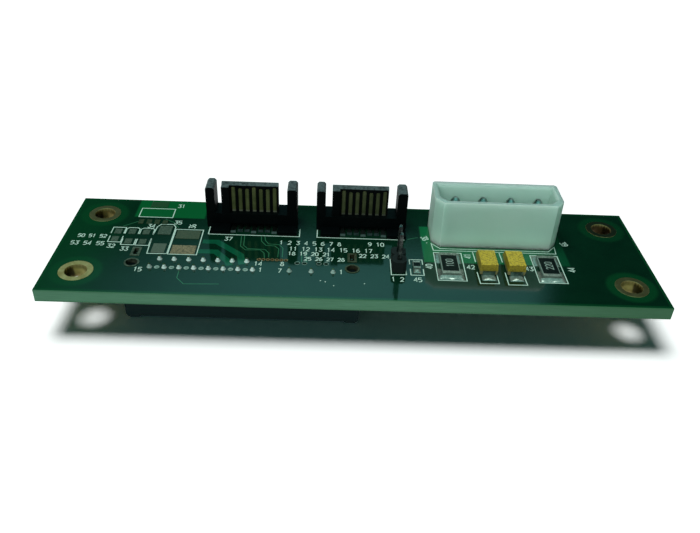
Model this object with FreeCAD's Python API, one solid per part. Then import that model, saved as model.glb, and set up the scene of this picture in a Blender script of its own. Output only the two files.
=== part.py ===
import FreeCAD, Part
import math
import os

# Drive adapter card: a circuit board that carries a drive receptacle on its underside and
# two data headers, a power header and a lamp header on its top. Millimetres, +Z up.
# X runs along the board, Y from its front edge to its back edge. The origin is under the
# centre of the board, in the plane of the receptacle's mating face.

# Board
board_length = 106.68
board_depth = 30.48
board_thickness = 2.36
copper_thickness = 0.08

# Mounting holes, each with a plated barrel and a ring on both faces
hole_inset_x = 5.4
hole_inset_y = 5.75
hole_radius = 1.88
hole_ring_radius = 2.92
barrel_wall = 0.12

# Flat sides of small round pieces, few because these pieces repeat
joint_sides = 8
pin_sides = 12
peg_sides = 12
ring_sides = 28

# Bent strips and solder
mitre_limit = 0.3
solder_climb = 0.8

# Drive receptacle under the board
receptacle_inset = 33.36
receptacle_y = -6.5
receptacle_height = 7.5
receptacle_depth = 5.8
receptacle_floor = 2.2
receptacle_ear_width = 2.9
receptacle_ear_overhang = 1.8
receptacle_ear_round = 1.1
receptacle_end_wall = 0.87
receptacle_edge_chamfer = 0.5
plug_slot_thickness = 1.5
plug_slot_margin = 1.03
plug_key_reach = 1.1
plug_key_width = 1.3
mouth_chamfer = 0.45

# Drive receptacle contacts and their two staggered rows of tails
contact_pitch = 1.27
power_contact_count = 15
signal_contact_count = 7
segment_gap = 6.35
contact_width = 0.56
contact_thickness = 0.26
contact_bump = 0.35
contact_beam_setback = 0.7
contact_bend_height = 2.65
contact_bump_height = 1.6
contact_tip_height = 0.96
contact_slope = 0.6
front_tail_row = 1.22
back_tail_row = 1.28
tail_hole_radius = 0.42
tail_pad_radius = 0.62
tail_stand = 0.78
tail_width = 0.32
tail_shoulder = 0.3
second_port_count = 7
second_port_pitch = 0.8
second_port_width = 0.36
second_port_thickness = 0.2
second_port_tail_width = 0.24
second_port_row = 2.05
second_port_hole_radius = 0.27
second_port_ring_radius = 0.37
sunk_tail_drop = 0.4
channel_clearance = 0.1
channel_depth = 1.15
channel_lip = 0.7

# Locating pegs and board locks of the drive receptacle
peg_radius = 0.95
peg_clearance = 0.1
peg_length = 1.9
peg_ring_width = 0.3
peg_chamfer = 0.38
lock_thickness = 0.4
lock_width = 1.7
lock_row = 3.45
lock_seat_depth = 3.0
lock_sink = 0.5
lock_prong_gap = 0.5
lock_fork_depth = 0.6
lock_tip_width = 0.28
lock_tip_drop = 0.43
lock_slot_width = 0.8
lock_slot_length = 1.95
lock_ring_width = 0.42

# Data headers
data_header_x = -19.5
data_header_spacing = 20.45
data_header_count = 2
data_front_y = 6.1
data_width = 16.85
data_depth = 3.8
data_base_height = 3.0
data_height = 8.3
data_tongue_height = 8.7
data_left_post_width = 1.65
data_right_post_width = 1.85
data_post_chamfer = 0.35
data_tongue_left = 5.55
data_tongue_width = 10.45
data_tongue_setback = 1.1
data_tongue_thickness = 1.3
data_key_width = 1.4
data_key_reach = 0.9
data_contact_count = 7
data_contact_offset = 0.4
data_contact_width = 0.7
data_contact_thickness = 0.24
data_contact_proud = 0.1
data_ground_contact_drop = 0.65
data_signal_contact_drop = 0.95
data_ground_tail_reach = 1.5
data_signal_tail_reach = 1.1
data_tail_notch_height = 0.9
data_tail_notch_depth = 0.7
data_foot_span = 16.0
data_foot_reach = 2.5
data_foot_height = 0.7
data_pad_margin = 0.12
data_toe_fillet = 0.48

# Power header: an open box with two chamfered front corners
power_header_x = 25.6
power_header_y = 5.5
power_header_width = 23.3
power_header_depth = 8.0
power_header_height = 9.4
power_header_wall = 1.05
power_header_floor = 2.4
power_header_chamfer_x = 1.45
power_header_chamfer_y = 1.7
power_header_back_round = 0.6
power_header_lead_in = 0.35
power_pin_count = 4
power_pin_pitch = 5.08
power_pin_radius = 1.05
power_pin_tip = 8.4
power_pin_nose_length = 1.37
power_pin_nose_bend = 0.58
power_pin_nose_bend_radius = 0.84
power_pin_nose_tip_radius = 0.42
power_pin_tail_radius = 0.62
power_pin_tail_stand = 1.3
power_pin_tail_point = 0.37
power_pin_solder_gap = 0.18
power_pin_pad_radius = 1.55

# Lamp header: two square pins in a moulded base
lamp_header_x = 7.4
lamp_header_y = -4.87
lamp_pin_pitch = 2.54
lamp_pin_count = 2
lamp_pin_side = 0.64
lamp_pin_height = 7.6
lamp_pin_taper = 0.25
lamp_pin_tail_stand = 1.1
lamp_base_height = 2.3
lamp_base_chamfer = 0.55
lamp_hole_radius = 0.56
lamp_pad_radius = 0.95

# Large chip resistors
large_resistor_x = 16.55
large_resistor_spacing = 17.75
large_resistor_y = -4.75
large_resistor_length = 6.3
large_resistor_width = 3.2
large_resistor_height = 0.6
large_resistor_coat_length = 4.86
large_resistor_coat_width = 2.84
large_resistor_cap_length = 0.7
large_resistor_pad_length = 3.3
large_resistor_pad_width = 4.7
large_resistor_pad_reach = 1.0

# Small chip resistor
small_resistor_x = 10.65
small_resistor_y = -5.4
small_resistor_length = 2.0
small_resistor_width = 1.25
small_resistor_height = 0.5
small_resistor_coat_length = 1.2
small_resistor_coat_width = 1.15
small_resistor_cap_length = 0.38
small_resistor_pad_length = 1.35
small_resistor_pad_width = 1.3
small_resistor_pad_reach = 0.8

# Chip resistor finishes
resistor_coat_thickness = 0.06
resistor_cap_thickness = 0.06
resistor_fillet_foot = 0.5
resistor_fillet_climb = 0.8

# Tantalum capacitors
capacitor_x = 23.15
capacitor_spacing = 4.9
capacitor_y = -4.6
capacitor_length = 5.7
capacitor_width = 3.2
capacitor_height = 2.1
capacitor_seam_height = 0.85
capacitor_draft = 0.12
capacitor_bevel = 0.69
capacitor_bevel_drop = 0.9
capacitor_lift = 0.12
capacitor_terminal_width = 2.2
capacitor_terminal_thickness = 0.12
capacitor_terminal_foot = 1.2
capacitor_terminal_root = 0.6
capacitor_fillet_foot = 0.36
capacitor_fillet_shoulder = 0.24
capacitor_fillet_climb = 0.5
capacitor_pad_length = 2.6
capacitor_pad_width = 2.5
capacitor_pad_reach = 1.5
capacitor_count = 2

# Empty positions at the left end: a regulator, three small chips, a capacitor and a choke
regulator_inset = 15.04
regulator_lead_spacing = 6.45
regulator_lead_count = 4
regulator_lead_pitch = 1.5
regulator_lead_pad_width = 0.95
regulator_lead_pad_length = 1.5
regulator_gap = 0.62
regulator_tab_width = 3.3
regulator_tab_length = 2.1
chip_pads_inset = 9.44
chip_pads_pitch = 2.57
chip_pads_y = 3.4
chip_pads_count = 3
chip_pad_width = 1.25
chip_pad_length = 1.6
short_chip_pad_spacing = 2.6
long_chip_pad_spacing = 3.25
spare_capacitor_gap = 1.51
spare_capacitor_y = 1.18
spare_capacitor_pad_spacing = 6.05
spare_capacitor_pad_width = 2.35
spare_capacitor_pad_length = 2.95
choke_gap = 1.125
choke_y = 0.4
choke_pad_spacing = 5.0
choke_pad_width = 4.3
choke_pad_length = 2.75

# Values worked out from the sizes above
board_bottom = receptacle_height
board_top = board_bottom + board_thickness
pad_top = board_top + copper_thickness
ring_low = board_bottom - copper_thickness
receptacle_x = -board_length / 2 + receptacle_inset
contact_span = (power_contact_count + signal_contact_count - 2) * contact_pitch + segment_gap
slot_half = contact_span / 2 + plug_slot_margin
ear_offset = slot_half + receptacle_end_wall + receptacle_ear_width / 2
slot_depth = receptacle_height - receptacle_floor
tail_jog_z = slot_depth + receptacle_floor / 2
spare_capacitor_back = spare_capacitor_y + (spare_capacitor_pad_spacing + spare_capacitor_pad_length) / 2
regulator_x = -board_length / 2 + regulator_inset
regulator_lead_y = spare_capacitor_back + regulator_gap + regulator_lead_pad_length / 2
regulator_tab_y = regulator_lead_y + regulator_lead_spacing
chip_pads_x = -board_length / 2 + chip_pads_inset
last_chip_x = chip_pads_x + (chip_pads_count - 1) * chip_pads_pitch
spare_capacitor_x = last_chip_x + (chip_pad_width + spare_capacitor_pad_width) / 2 + spare_capacitor_gap
choke_x = spare_capacitor_x + (spare_capacitor_pad_width + choke_pad_width) / 2 + choke_gap

os.makedirs("parts", exist_ok=True)


def vector(x, y, z):
    return FreeCAD.Vector(x, y, z)


def block(x0, x1, y0, y1, z0, z1):
    """A box between two corners."""
    return Part.makeBox(x1 - x0, y1 - y0, z1 - z0, vector(x0, y0, z0))


def slab(x, y, width, length, z0, z1):
    """A box centred on a point of the board."""
    return block(x - width / 2, x + width / 2, y - length / 2, y + length / 2, z0, z1)


def outline_wire(points, z):
    """A closed wire through points of a plan, at one height."""
    corners = [vector(x, y, z) for x, y in points]
    return Part.makePolygon(corners + [corners[0]])


def even_plan(x, y, radius, sides):
    """The corners of an even-sided plan about a point of the board."""
    turns = [2 * math.pi * (index + 0.5) / sides for index in range(sides)]
    return [(x + radius * math.cos(turn), y + radius * math.sin(turn)) for turn in turns]


def profile_face(points):
    """A flat face inside a closed run of straight lines."""
    return Part.Face(Part.makePolygon(points + [points[0]]))


def prism_along_x(points, x0, x1):
    """A solid whose section in Y and Z is the given outline."""
    face = profile_face([vector(x0, y, z) for y, z in points])
    return face.extrude(vector(x1 - x0, 0, 0))


def prism_along_y(points, y0, y1):
    """A solid whose section in X and Z is the given outline."""
    face = profile_face([vector(x, y0, z) for x, z in points])
    return face.extrude(vector(0, y1 - y0, 0))


def prism_along_z(points, z0, z1):
    """A solid whose plan is the given outline."""
    face = profile_face([vector(x, y, z0) for x, y in points])
    return face.extrude(vector(0, 0, z1 - z0))


def stub(x, y, radius, z0, z1, sides):
    """An upright even-sided post."""
    return prism_along_z(even_plan(x, y, radius, sides), z0, z1)


def stacked(x, y, sections, sides):
    """An upright even-sided solid through sections of radius and height, from the lowest up."""
    plans = [
        [vector(px, py, z) for px, py in even_plan(x, y, radius, sides)] for radius, z in sections
    ]
    faces = [profile_face(plans[0]), profile_face(plans[-1])]
    for lower, upper in zip(plans, plans[1:]):
        for index in range(sides):
            after = (index + 1) % sides
            faces.append(profile_face([lower[index], lower[after], upper[after], upper[index]]))
    solid = Part.Solid(Part.Shell(faces))
    if solid.Volume < 0:
        solid.reverse()
    return solid


def strip_outline(path, thickness):
    """The outline of a bent strip of even thickness along a path in Y and Z."""
    left = []
    right = []
    for index, (y, z) in enumerate(path):
        before = path[max(index - 1, 0)]
        after = path[min(index + 1, len(path) - 1)]
        first = FreeCAD.Vector(y - before[0], z - before[1], 0)
        second = FreeCAD.Vector(after[0] - y, after[1] - z, 0)
        first = second if first.Length == 0 else first
        second = first if second.Length == 0 else second
        first.normalize()
        second.normalize()
        normal = FreeCAD.Vector(-first.y - second.y, first.x + second.x, 0)
        normal.normalize()
        reach = thickness / 2 / max(normal.x * -first.y + normal.y * first.x, mitre_limit)
        left.append((y + normal.x * reach, z + normal.y * reach))
        right.append((y - normal.x * reach, z - normal.y * reach))
    return left + right[::-1]


def row(count, pitch, centre=0.0):
    """Evenly spaced places about a centre."""
    return [centre + (index - (count - 1) / 2) * pitch for index in range(count)]


def save(name, shapes):
    """Write one sub-part, a single solid or a group of like solids."""
    shape = shapes[0] if len(shapes) == 1 else Part.makeCompound(shapes)
    shape.exportStep("parts/" + name + ".step")


def board_hole(x, y, radius, sides):
    """The drilled hole that a lining or a solder joint fills."""
    return stub(x, y, radius, board_bottom, board_top, sides)


def plated_hole(x, y, barrel, ring, sides, drill):
    """The plated lining of a hole: a barrel with a flat ring on both faces, drilled through."""
    lower_ring = stub(x, y, ring, ring_low, board_bottom, sides)
    upper_ring = stub(x, y, ring, board_top, pad_top, sides)
    lining = board_hole(x, y, barrel, peg_sides)
    return lining.fuse([lower_ring, upper_ring]).removeSplitter().cut(drill)


def tinned_pad(x, y, width, length):
    """A bare tinned pad, raised a little above the board."""
    return slab(x, y, width, length, board_top, pad_top)


# Mounting holes
mounting_points = [
    (side_x * (board_length / 2 - hole_inset_x), side_y * (board_depth / 2 - hole_inset_y))
    for side_x in (-1, 1)
    for side_y in (-1, 1)
]
hole_barrel_radius = (hole_radius + barrel_wall) / math.cos(math.pi / peg_sides)


def mounting_lining(x, y):
    """A mounting hole's lining, with a round bore for a screw."""
    drill = Part.makeCylinder(hole_radius, pad_top - ring_low, vector(x, y, ring_low))
    return plated_hole(x, y, hole_barrel_radius, hole_ring_radius, ring_sides, drill)


mounting_linings = [mounting_lining(x, y) for x, y in mounting_points]
board_holes = [board_hole(x, y, hole_barrel_radius, peg_sides) for x, y in mounting_points]

# Places of the drive contacts, from the left end: the power contacts, then the signal contacts
first_power_x = receptacle_x - contact_span / 2
power_places = [first_power_x + index * contact_pitch for index in range(power_contact_count)]
first_signal_x = power_places[-1] + segment_gap
signal_places = [first_signal_x + index * contact_pitch for index in range(signal_contact_count)]
second_port_x = (power_places[-1] + first_signal_x) / 2
second_port_places = row(second_port_count, second_port_pitch, second_port_x)
front_row_y = receptacle_y - front_tail_row
back_row_y = receptacle_y + back_tail_row
second_row_y = receptacle_y + second_port_row


def power_tail_row(index):
    """Power tails alternate between the front row and the back row."""
    return front_row_y if index % 2 == 0 else back_row_y


def signal_tail_row(index):
    """The three ground contacts, at the ends and the middle, have front tails."""
    return front_row_y if index % (signal_contact_count // 2) == 0 else back_row_y


slot_front_y = receptacle_y - plug_slot_thickness / 2
slot_back_y = receptacle_y + plug_slot_thickness / 2


def drive_contact(x, tail_y, side, width, thickness, tail_top, narrow):
    """A contact of the drive receptacle: narrow tail, jog in the housing floor, spring beam and bump."""
    wall_y = slot_front_y if side < 0 else slot_back_y
    beam_y = wall_y + side * contact_beam_setback
    path = [
        (tail_y, tail_top),
        (tail_y, tail_jog_z),
        (beam_y, tail_jog_z - contact_slope),
        (beam_y, contact_bend_height),
        (wall_y - side * (contact_bump - thickness / 2), contact_bump_height),
        (wall_y + side * thickness, contact_tip_height),
    ]
    strip = prism_along_x(strip_outline(path, thickness), x - width / 2, x + width / 2)
    beside_tail = [
        block(x + near, x + far, tail_y - thickness, tail_y + thickness, tail_shoulder_z, tail_top)
        for near, far in ((-width / 2, -narrow / 2), (narrow / 2, width / 2))
    ]
    return strip.cut(beside_tail)


def drive_channel(x, side, width):
    """The channel in the slot wall that a contact's spring beam moves in."""
    wall_y = slot_front_y if side < 0 else slot_back_y
    half = width / 2 + channel_clearance
    near, far = sorted((wall_y - side * channel_clearance, wall_y + side * channel_depth))
    return block(x - half, x + half, near, far, channel_lip, slot_depth)


tail_top = board_top + tail_stand
tail_shoulder_z = board_bottom - tail_shoulder
sunk_tail_top = board_top - sunk_tail_drop
power_rows = [power_tail_row(index) for index in range(power_contact_count)]
signal_rows = [signal_tail_row(index) for index in range(signal_contact_count)]
power_contacts = [
    drive_contact(x, y, -1, contact_width, contact_thickness, tail_top, tail_width)
    for x, y in zip(power_places, power_rows)
]
signal_tops = [tail_top if y == front_row_y else sunk_tail_top for y in signal_rows]
signal_contacts = [
    drive_contact(x, y, -1, contact_width, contact_thickness, top, tail_width)
    for x, y, top in zip(signal_places, signal_rows, signal_tops)
]
second_port_contacts = [
    drive_contact(
        x, second_row_y, 1, second_port_width, second_port_thickness, sunk_tail_top, second_port_tail_width
    )
    for x in second_port_places
]


def tail_joint(x, y, tail):
    """The solder of one tail: a filled barrel and a pointed cone on the top face."""
    tip_radius = math.hypot(tail_width, contact_thickness) / 2 + copper_thickness
    sections = [
        (tail_hole_radius, board_bottom),
        (tail_hole_radius, board_top),
        (tail_pad_radius, board_top),
        (tip_radius, tail_top - copper_thickness),
    ]
    return stacked(x, y, sections, joint_sides).cut(tail)


def sunk_joint(x, y, tail, hole_radius, ring_radius):
    """The plated ring of a tail that stops inside the board, with solder part of the way up its barrel."""
    sections = [
        (hole_radius, board_bottom),
        (hole_radius, board_top),
        (ring_radius, board_top),
        (ring_radius, pad_top),
    ]
    bore = stub(x, y, hole_radius - copper_thickness / 2, sunk_tail_top, pad_top, joint_sides)
    return stacked(x, y, sections, joint_sides).cut([bore, tail])


def signal_joint(x, y, tail):
    """A front tail stands in a cone of solder, and a back tail stops inside the board."""
    if y == front_row_y:
        return tail_joint(x, y, tail)
    return sunk_joint(x, y, tail, tail_hole_radius, tail_pad_radius)


power_joints = [tail_joint(x, y, tail) for x, y, tail in zip(power_places, power_rows, power_contacts)]
signal_joints = [signal_joint(x, y, tail) for x, y, tail in zip(signal_places, signal_rows, signal_contacts)]
second_port_joints = [
    sunk_joint(x, second_row_y, tail, second_port_hole_radius, second_port_ring_radius)
    for x, tail in zip(second_port_places, second_port_contacts)
]
tail_points = list(zip(power_places + signal_places, power_rows + signal_rows))
board_holes += [board_hole(x, y, tail_hole_radius, joint_sides) for x, y in tail_points]
board_holes += [
    board_hole(x, second_row_y, second_port_hole_radius, joint_sides) for x in second_port_places
]

# Pegs and board locks stand in the two ears of the receptacle
ear_places = [receptacle_x - ear_offset, receptacle_x + ear_offset]
lock_y = receptacle_y + lock_row
peg_hole_radius = peg_radius + peg_clearance
peg_ring_radius = peg_hole_radius + peg_ring_width
peg_barrel_radius = peg_hole_radius + barrel_wall


def peg_lining(x):
    """The lining of a locating peg's hole."""
    drill = stub(x, receptacle_y, peg_hole_radius, ring_low, pad_top, peg_sides)
    return plated_hole(x, receptacle_y, peg_barrel_radius, peg_ring_radius, peg_sides, drill)


peg_linings = [peg_lining(x) for x in ear_places]
board_holes += [board_hole(x, receptacle_y, peg_barrel_radius, peg_sides) for x in ear_places]


def lock_slot(x, grow, z0, z1):
    """A rectangular slot for a board lock, grown by a margin on every side."""
    return slab(x, lock_y, lock_slot_width + 2 * grow, lock_slot_length + 2 * grow, z0, z1)


def lock_lining(x):
    """The plated lining of a lock slot, with a rectangular ring on both faces."""
    lining = lock_slot(x, barrel_wall, board_bottom, board_top)
    lower_ring = lock_slot(x, lock_ring_width, ring_low, board_bottom)
    upper_ring = lock_slot(x, lock_ring_width, board_top, pad_top)
    return lining.fuse([lower_ring, upper_ring]).removeSplitter().cut(lock_slot(x, 0, ring_low, pad_top))


def board_lock(x):
    """A forked sheet-metal blade, seated in an ear and sprung into its slot in the board."""
    half = lock_width / 2
    gap = lock_prong_gap / 2
    top = board_top - lock_sink
    fork = board_bottom - lock_fork_depth
    base = board_bottom - lock_seat_depth
    outline = [
        (lock_y - half, base),
        (lock_y + half, base),
        (lock_y + half, top - lock_tip_drop),
        (lock_y + gap + lock_tip_width, top),
        (lock_y + gap, top),
        (lock_y + gap, fork),
        (lock_y - gap, fork),
        (lock_y - gap, top),
        (lock_y - gap - lock_tip_width, top),
        (lock_y - half, top - lock_tip_drop),
    ]
    return prism_along_x(outline, x - lock_thickness / 2, x + lock_thickness / 2)


lock_linings = [lock_lining(x) for x in ear_places]
board_locks = [board_lock(x) for x in ear_places]
board_holes += [lock_slot(x, barrel_wall, board_bottom, board_top) for x in ear_places]


def receptacle_shell():
    """The outside of the drive receptacle: a long bar between two deeper rounded ears."""
    front = receptacle_y - receptacle_depth / 2
    back = receptacle_y + receptacle_depth / 2
    cut = receptacle_edge_chamfer
    bar_section = [
        (front, receptacle_height),
        (front, cut),
        (front + cut, 0),
        (back - cut, 0),
        (back, cut),
        (back, receptacle_height),
    ]
    shell = prism_along_x(bar_section, receptacle_x - ear_offset, receptacle_x + ear_offset)
    half = receptacle_ear_width / 2
    for x in ear_places:
        ear = block(x - half, x + half, front, back + receptacle_ear_overhang, 0, receptacle_height)
        low_edges = [
            edge for edge in ear.Edges
            if edge.BoundBox.ZMax < cut and edge.BoundBox.YLength > receptacle_depth
        ]
        shell = shell.fuse(ear.makeFillet(receptacle_ear_round, low_edges))
        ring_seat = stub(x, receptacle_y, peg_ring_radius, ring_low, board_bottom, peg_sides)
        lock_seat = lock_slot(x, lock_ring_width, ring_low, board_bottom)
        peg_top = board_bottom + peg_length
        peg_sections = [
            (peg_radius, ring_low),
            (peg_radius, peg_top - peg_chamfer),
            (peg_radius - peg_chamfer, peg_top),
        ]
        peg = stacked(x, receptacle_y, peg_sections, peg_sides)
        shell = shell.cut([ring_seat, lock_seat]).fuse(peg)
    return shell.removeSplitter()


def plug_slot():
    """The keyed slot that the drive's plug enters, with a leg at each end and a flared mouth."""
    left = receptacle_x - slot_half
    right = receptacle_x + slot_half
    slot = block(left, right, slot_front_y, slot_back_y, 0, slot_depth)
    key_back = slot_back_y + plug_key_reach
    legs = [
        block(left, left + plug_key_width, slot_front_y, key_back, 0, slot_depth),
        block(right - plug_key_width, right, slot_front_y, key_back, 0, slot_depth),
    ]
    mouth_section = [
        (slot_front_y - mouth_chamfer, 0),
        (slot_back_y + mouth_chamfer, 0),
        (slot_back_y, mouth_chamfer),
        (slot_front_y, mouth_chamfer),
    ]
    mouth = prism_along_x(mouth_section, left, right)
    return slot.fuse(legs + [mouth])


channels = [drive_channel(x, -1, contact_width) for x in power_places + signal_places]
channels += [drive_channel(x, 1, second_port_width) for x in second_port_places]
drive_contacts = power_contacts + signal_contacts + second_port_contacts
receptacle_housing = receptacle_shell().cut([plug_slot()] + channels)
receptacle_housing = receptacle_housing.cut(drive_contacts + board_locks)


def data_header_parts(centre_x):
    """One data header: its housing, its seven contacts and their solder on the board."""
    left = centre_x - data_width / 2
    right = centre_x + data_width / 2
    back_y = data_front_y + data_depth
    base_top = board_top + data_base_height
    top = board_top + data_height
    tongue_top = board_top + data_tongue_height
    cut = data_post_chamfer

    def post(x0, x1):
        """A guide post with a chamfered top."""
        outline = [
            (x0, board_top),
            (x1, board_top),
            (x1, top - cut),
            (x1 - cut, top),
            (x0 + cut, top),
            (x0, top - cut),
        ]
        return prism_along_y(outline, data_front_y, back_y)

    tongue_front = data_front_y + data_tongue_setback
    tongue_back = tongue_front + data_tongue_thickness
    tongue_left = centre_x - data_tongue_left
    tongue_section = [
        (tongue_front, board_top),
        (tongue_back, board_top),
        (tongue_back, tongue_top - cut),
        (tongue_back - cut, tongue_top),
        (tongue_front + cut, tongue_top),
        (tongue_front, tongue_top - cut),
    ]
    tongue = prism_along_x(tongue_section, tongue_left, tongue_left + data_tongue_width)
    key = block(
        tongue_left, tongue_left + data_key_width,
        tongue_front - data_key_reach, tongue_front + cut, board_top, tongue_top - cut,
    )
    base = block(left, right, data_front_y, back_y, board_top, base_top)
    posts = [post(left, left + data_left_post_width), post(right - data_right_post_width, right)]

    # Two low feet in front of the base, with the contact tails between them
    notch_half = (data_contact_count * contact_pitch) / 2
    notch_middle = centre_x + data_contact_offset
    foot_half = data_foot_span / 2
    foot_front = data_front_y - data_foot_reach
    foot_top = board_top + data_foot_height
    feet = [
        block(notch_middle - foot_half, notch_middle - notch_half, foot_front, back_y, board_top, foot_top),
        block(notch_middle + notch_half, notch_middle + foot_half, foot_front, back_y, board_top, foot_top),
    ]
    housing = base.fuse(posts + [tongue, key] + feet)

    places = row(data_contact_count, contact_pitch, notch_middle)
    notch = block(
        notch_middle - notch_half, notch_middle + notch_half,
        data_front_y, data_front_y + data_tail_notch_depth,
        board_top, board_top + data_tail_notch_height,
    )

    blade_y = tongue_front - data_contact_proud + data_contact_thickness / 2
    tail_z = pad_top + data_contact_thickness / 2
    contacts = []
    joints = []
    for index, x in enumerate(places):
        ground = index % (data_contact_count // 2) == 0
        drop = data_ground_contact_drop if ground else data_signal_contact_drop
        reach = data_ground_tail_reach if ground else data_signal_tail_reach
        toe_y = data_front_y - reach
        path = [(blade_y, tongue_top - drop), (blade_y, tail_z), (toe_y, tail_z)]
        outline = strip_outline(path, data_contact_thickness)
        contact = prism_along_x(outline, x - data_contact_width / 2, x + data_contact_width / 2)
        contacts.append(contact)
        half = data_contact_width / 2 + data_pad_margin
        toe_front = toe_y - data_toe_fillet
        pad_section = [
            (toe_front, board_top),
            (data_front_y, board_top),
            (data_front_y, pad_top),
            (toe_y, pad_top + data_contact_thickness),
            (toe_front, pad_top),
        ]
        joints.append(prism_along_x(pad_section, x - half, x + half).cut(contact))
    housing = housing.removeSplitter().cut([notch] + contacts)
    return housing, contacts, joints


data_headers = [
    data_header_parts(data_header_x + index * data_header_spacing) for index in range(data_header_count)
]


def power_header_plan(inset):
    """The outline of the power header in plan, drawn in by a wall: two front corners are cut off."""
    left = power_header_x - power_header_width / 2 + inset
    right = power_header_x + power_header_width / 2 - inset
    front = power_header_y - power_header_depth / 2 + inset
    back = power_header_y + power_header_depth / 2 - inset
    return [
        (left, back),
        (left, front + power_header_chamfer_y),
        (left + power_header_chamfer_x, front),
        (right - power_header_chamfer_x, front),
        (right, front + power_header_chamfer_y),
        (right, back),
    ]


power_places_on_board = [(x, power_header_y) for x in row(power_pin_count, power_pin_pitch, power_header_x)]


def power_pin(x, y):
    """A pin with a bullet nose above the floor and a thinner tail through the board."""
    tip = board_top + power_pin_tip
    end = board_bottom - power_pin_tail_stand
    sections = [
        (power_pin_tail_radius - power_pin_tail_point, end),
        (power_pin_tail_radius, end + power_pin_tail_point),
        (power_pin_tail_radius, board_top),
        (power_pin_radius, board_top),
        (power_pin_radius, tip - power_pin_nose_length),
        (power_pin_nose_bend_radius, tip - power_pin_nose_bend),
        (power_pin_nose_tip_radius, tip),
    ]
    return stacked(x, y, sections, pin_sides)


power_pins = [power_pin(x, y) for x, y in power_places_on_board]


def power_header_housing():
    """The moulded open box of the power header, with a lead-in round its rim."""
    rim = board_top + power_header_height
    body = prism_along_z(power_header_plan(0), board_top, rim)
    back = power_header_y + power_header_depth / 2
    upright_back = [
        edge for edge in body.Edges
        if edge.BoundBox.ZLength > power_header_floor and edge.BoundBox.YMin > back - power_header_wall
    ]
    body = body.makeFillet(power_header_back_round, upright_back)
    cavity = prism_along_z(power_header_plan(power_header_wall), board_top + power_header_floor, rim)
    lead_in = Part.makeLoft(
        [
            outline_wire(power_header_plan(power_header_wall), rim - power_header_lead_in),
            outline_wire(power_header_plan(power_header_wall - power_header_lead_in), rim),
        ],
        True,
        True,
    )
    return body.cut([cavity, lead_in] + power_pins)


def underside_joint(x, y, barrel_radius, pad_radius, stand, pin):
    """The solder of a pin that comes through from the top: a filled barrel and a cone below."""
    sections = [
        (barrel_radius, board_bottom - stand * solder_climb),
        (pad_radius, board_bottom),
        (barrel_radius, board_bottom),
        (barrel_radius, board_top),
    ]
    return stacked(x, y, sections, pin_sides).cut(pin)


power_hole_radius = power_pin_tail_radius + power_pin_solder_gap
power_joints_below = [
    underside_joint(x, y, power_hole_radius, power_pin_pad_radius, power_pin_tail_stand, pin)
    for (x, y), pin in zip(power_places_on_board, power_pins)
]
board_holes += [board_hole(x, y, power_hole_radius, pin_sides) for x, y in power_places_on_board]

# Lamp header
lamp_places = row(lamp_pin_count, lamp_pin_pitch, lamp_header_y)


def lamp_pin(y):
    """A square pin with pointed ends."""
    half = lamp_pin_side / 2
    low = board_bottom - lamp_pin_tail_stand
    high = board_top + lamp_pin_height
    shank = slab(
        lamp_header_x, y, lamp_pin_side, lamp_pin_side, low + lamp_pin_taper, high - lamp_pin_taper
    )

    def end(z_wide, z_tip):
        """A short pyramid that narrows to half the pin's side."""
        wide = [(lamp_header_x + sx * half, y + sy * half) for sx, sy in ((-1, -1), (1, -1), (1, 1), (-1, 1))]
        narrow = [(lamp_header_x + (px - lamp_header_x) / 2, y + (py - y) / 2) for px, py in wide]
        return Part.makeLoft([outline_wire(wide, z_wide), outline_wire(narrow, z_tip)], True, True)

    upper = end(high - lamp_pin_taper, high)
    lower = end(low + lamp_pin_taper, low)
    return shank.fuse([upper, lower]).removeSplitter()


lamp_pins = [lamp_pin(y) for y in lamp_places]


def lamp_base():
    """The moulded base of the lamp header: one eight-sided cell for each pin, joined in a row."""
    half = lamp_pin_pitch / 2
    cut = lamp_base_chamfer
    cells = []
    for y in lamp_places:
        plan = [
            (lamp_header_x - half + cut, y - half),
            (lamp_header_x + half - cut, y - half),
            (lamp_header_x + half, y - half + cut),
            (lamp_header_x + half, y + half - cut),
            (lamp_header_x + half - cut, y + half),
            (lamp_header_x - half + cut, y + half),
            (lamp_header_x - half, y + half - cut),
            (lamp_header_x - half, y - half + cut),
        ]
        cells.append(prism_along_z(plan, board_top, board_top + lamp_base_height))
    return cells[0].fuse(cells[1:]).removeSplitter().cut(lamp_pins)


lamp_joints = [
    underside_joint(lamp_header_x, y, lamp_hole_radius, lamp_pad_radius, lamp_pin_tail_stand, pin)
    for y, pin in zip(lamp_places, lamp_pins)
]
board_holes += [board_hole(lamp_header_x, y, lamp_hole_radius, pin_sides) for y in lamp_places]


def chip_resistor(x, y, length, width, height, coat_size, cap_length, pad_size, pad_reach):
    """A chip resistor on its pads: ceramic core, top coat, two end caps and two solder fillets."""
    shell = resistor_cap_thickness
    low = pad_top + shell
    core = slab(x, y, width, length, low, low + height)
    coat_width, coat_length = coat_size
    coat = slab(x, y, coat_width, coat_length, low + height, low + height + resistor_coat_thickness)
    pad_width, pad_length = pad_size
    caps = []
    fillets = []
    for side in (-1, 1):
        end = y + side * length / 2
        inner = end - side * cap_length
        outer = end + side * shell
        y0, y1 = sorted((inner, outer))
        cap = block(x - width / 2, x + width / 2, y0, y1, low - shell, low + height + shell)
        caps.append(cap.cut(core))
        pad = slab(x, end + side * (pad_reach - pad_length / 2), pad_width, pad_length, board_top, pad_top)
        section = [
            (outer, pad_top),
            (outer + side * min(resistor_fillet_foot, pad_reach - shell), pad_top),
            (outer, low + height * resistor_fillet_climb),
        ]
        fillets.append(pad.fuse(prism_along_x(section, x - width / 2, x + width / 2)))
    return core, coat, caps, fillets


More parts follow.
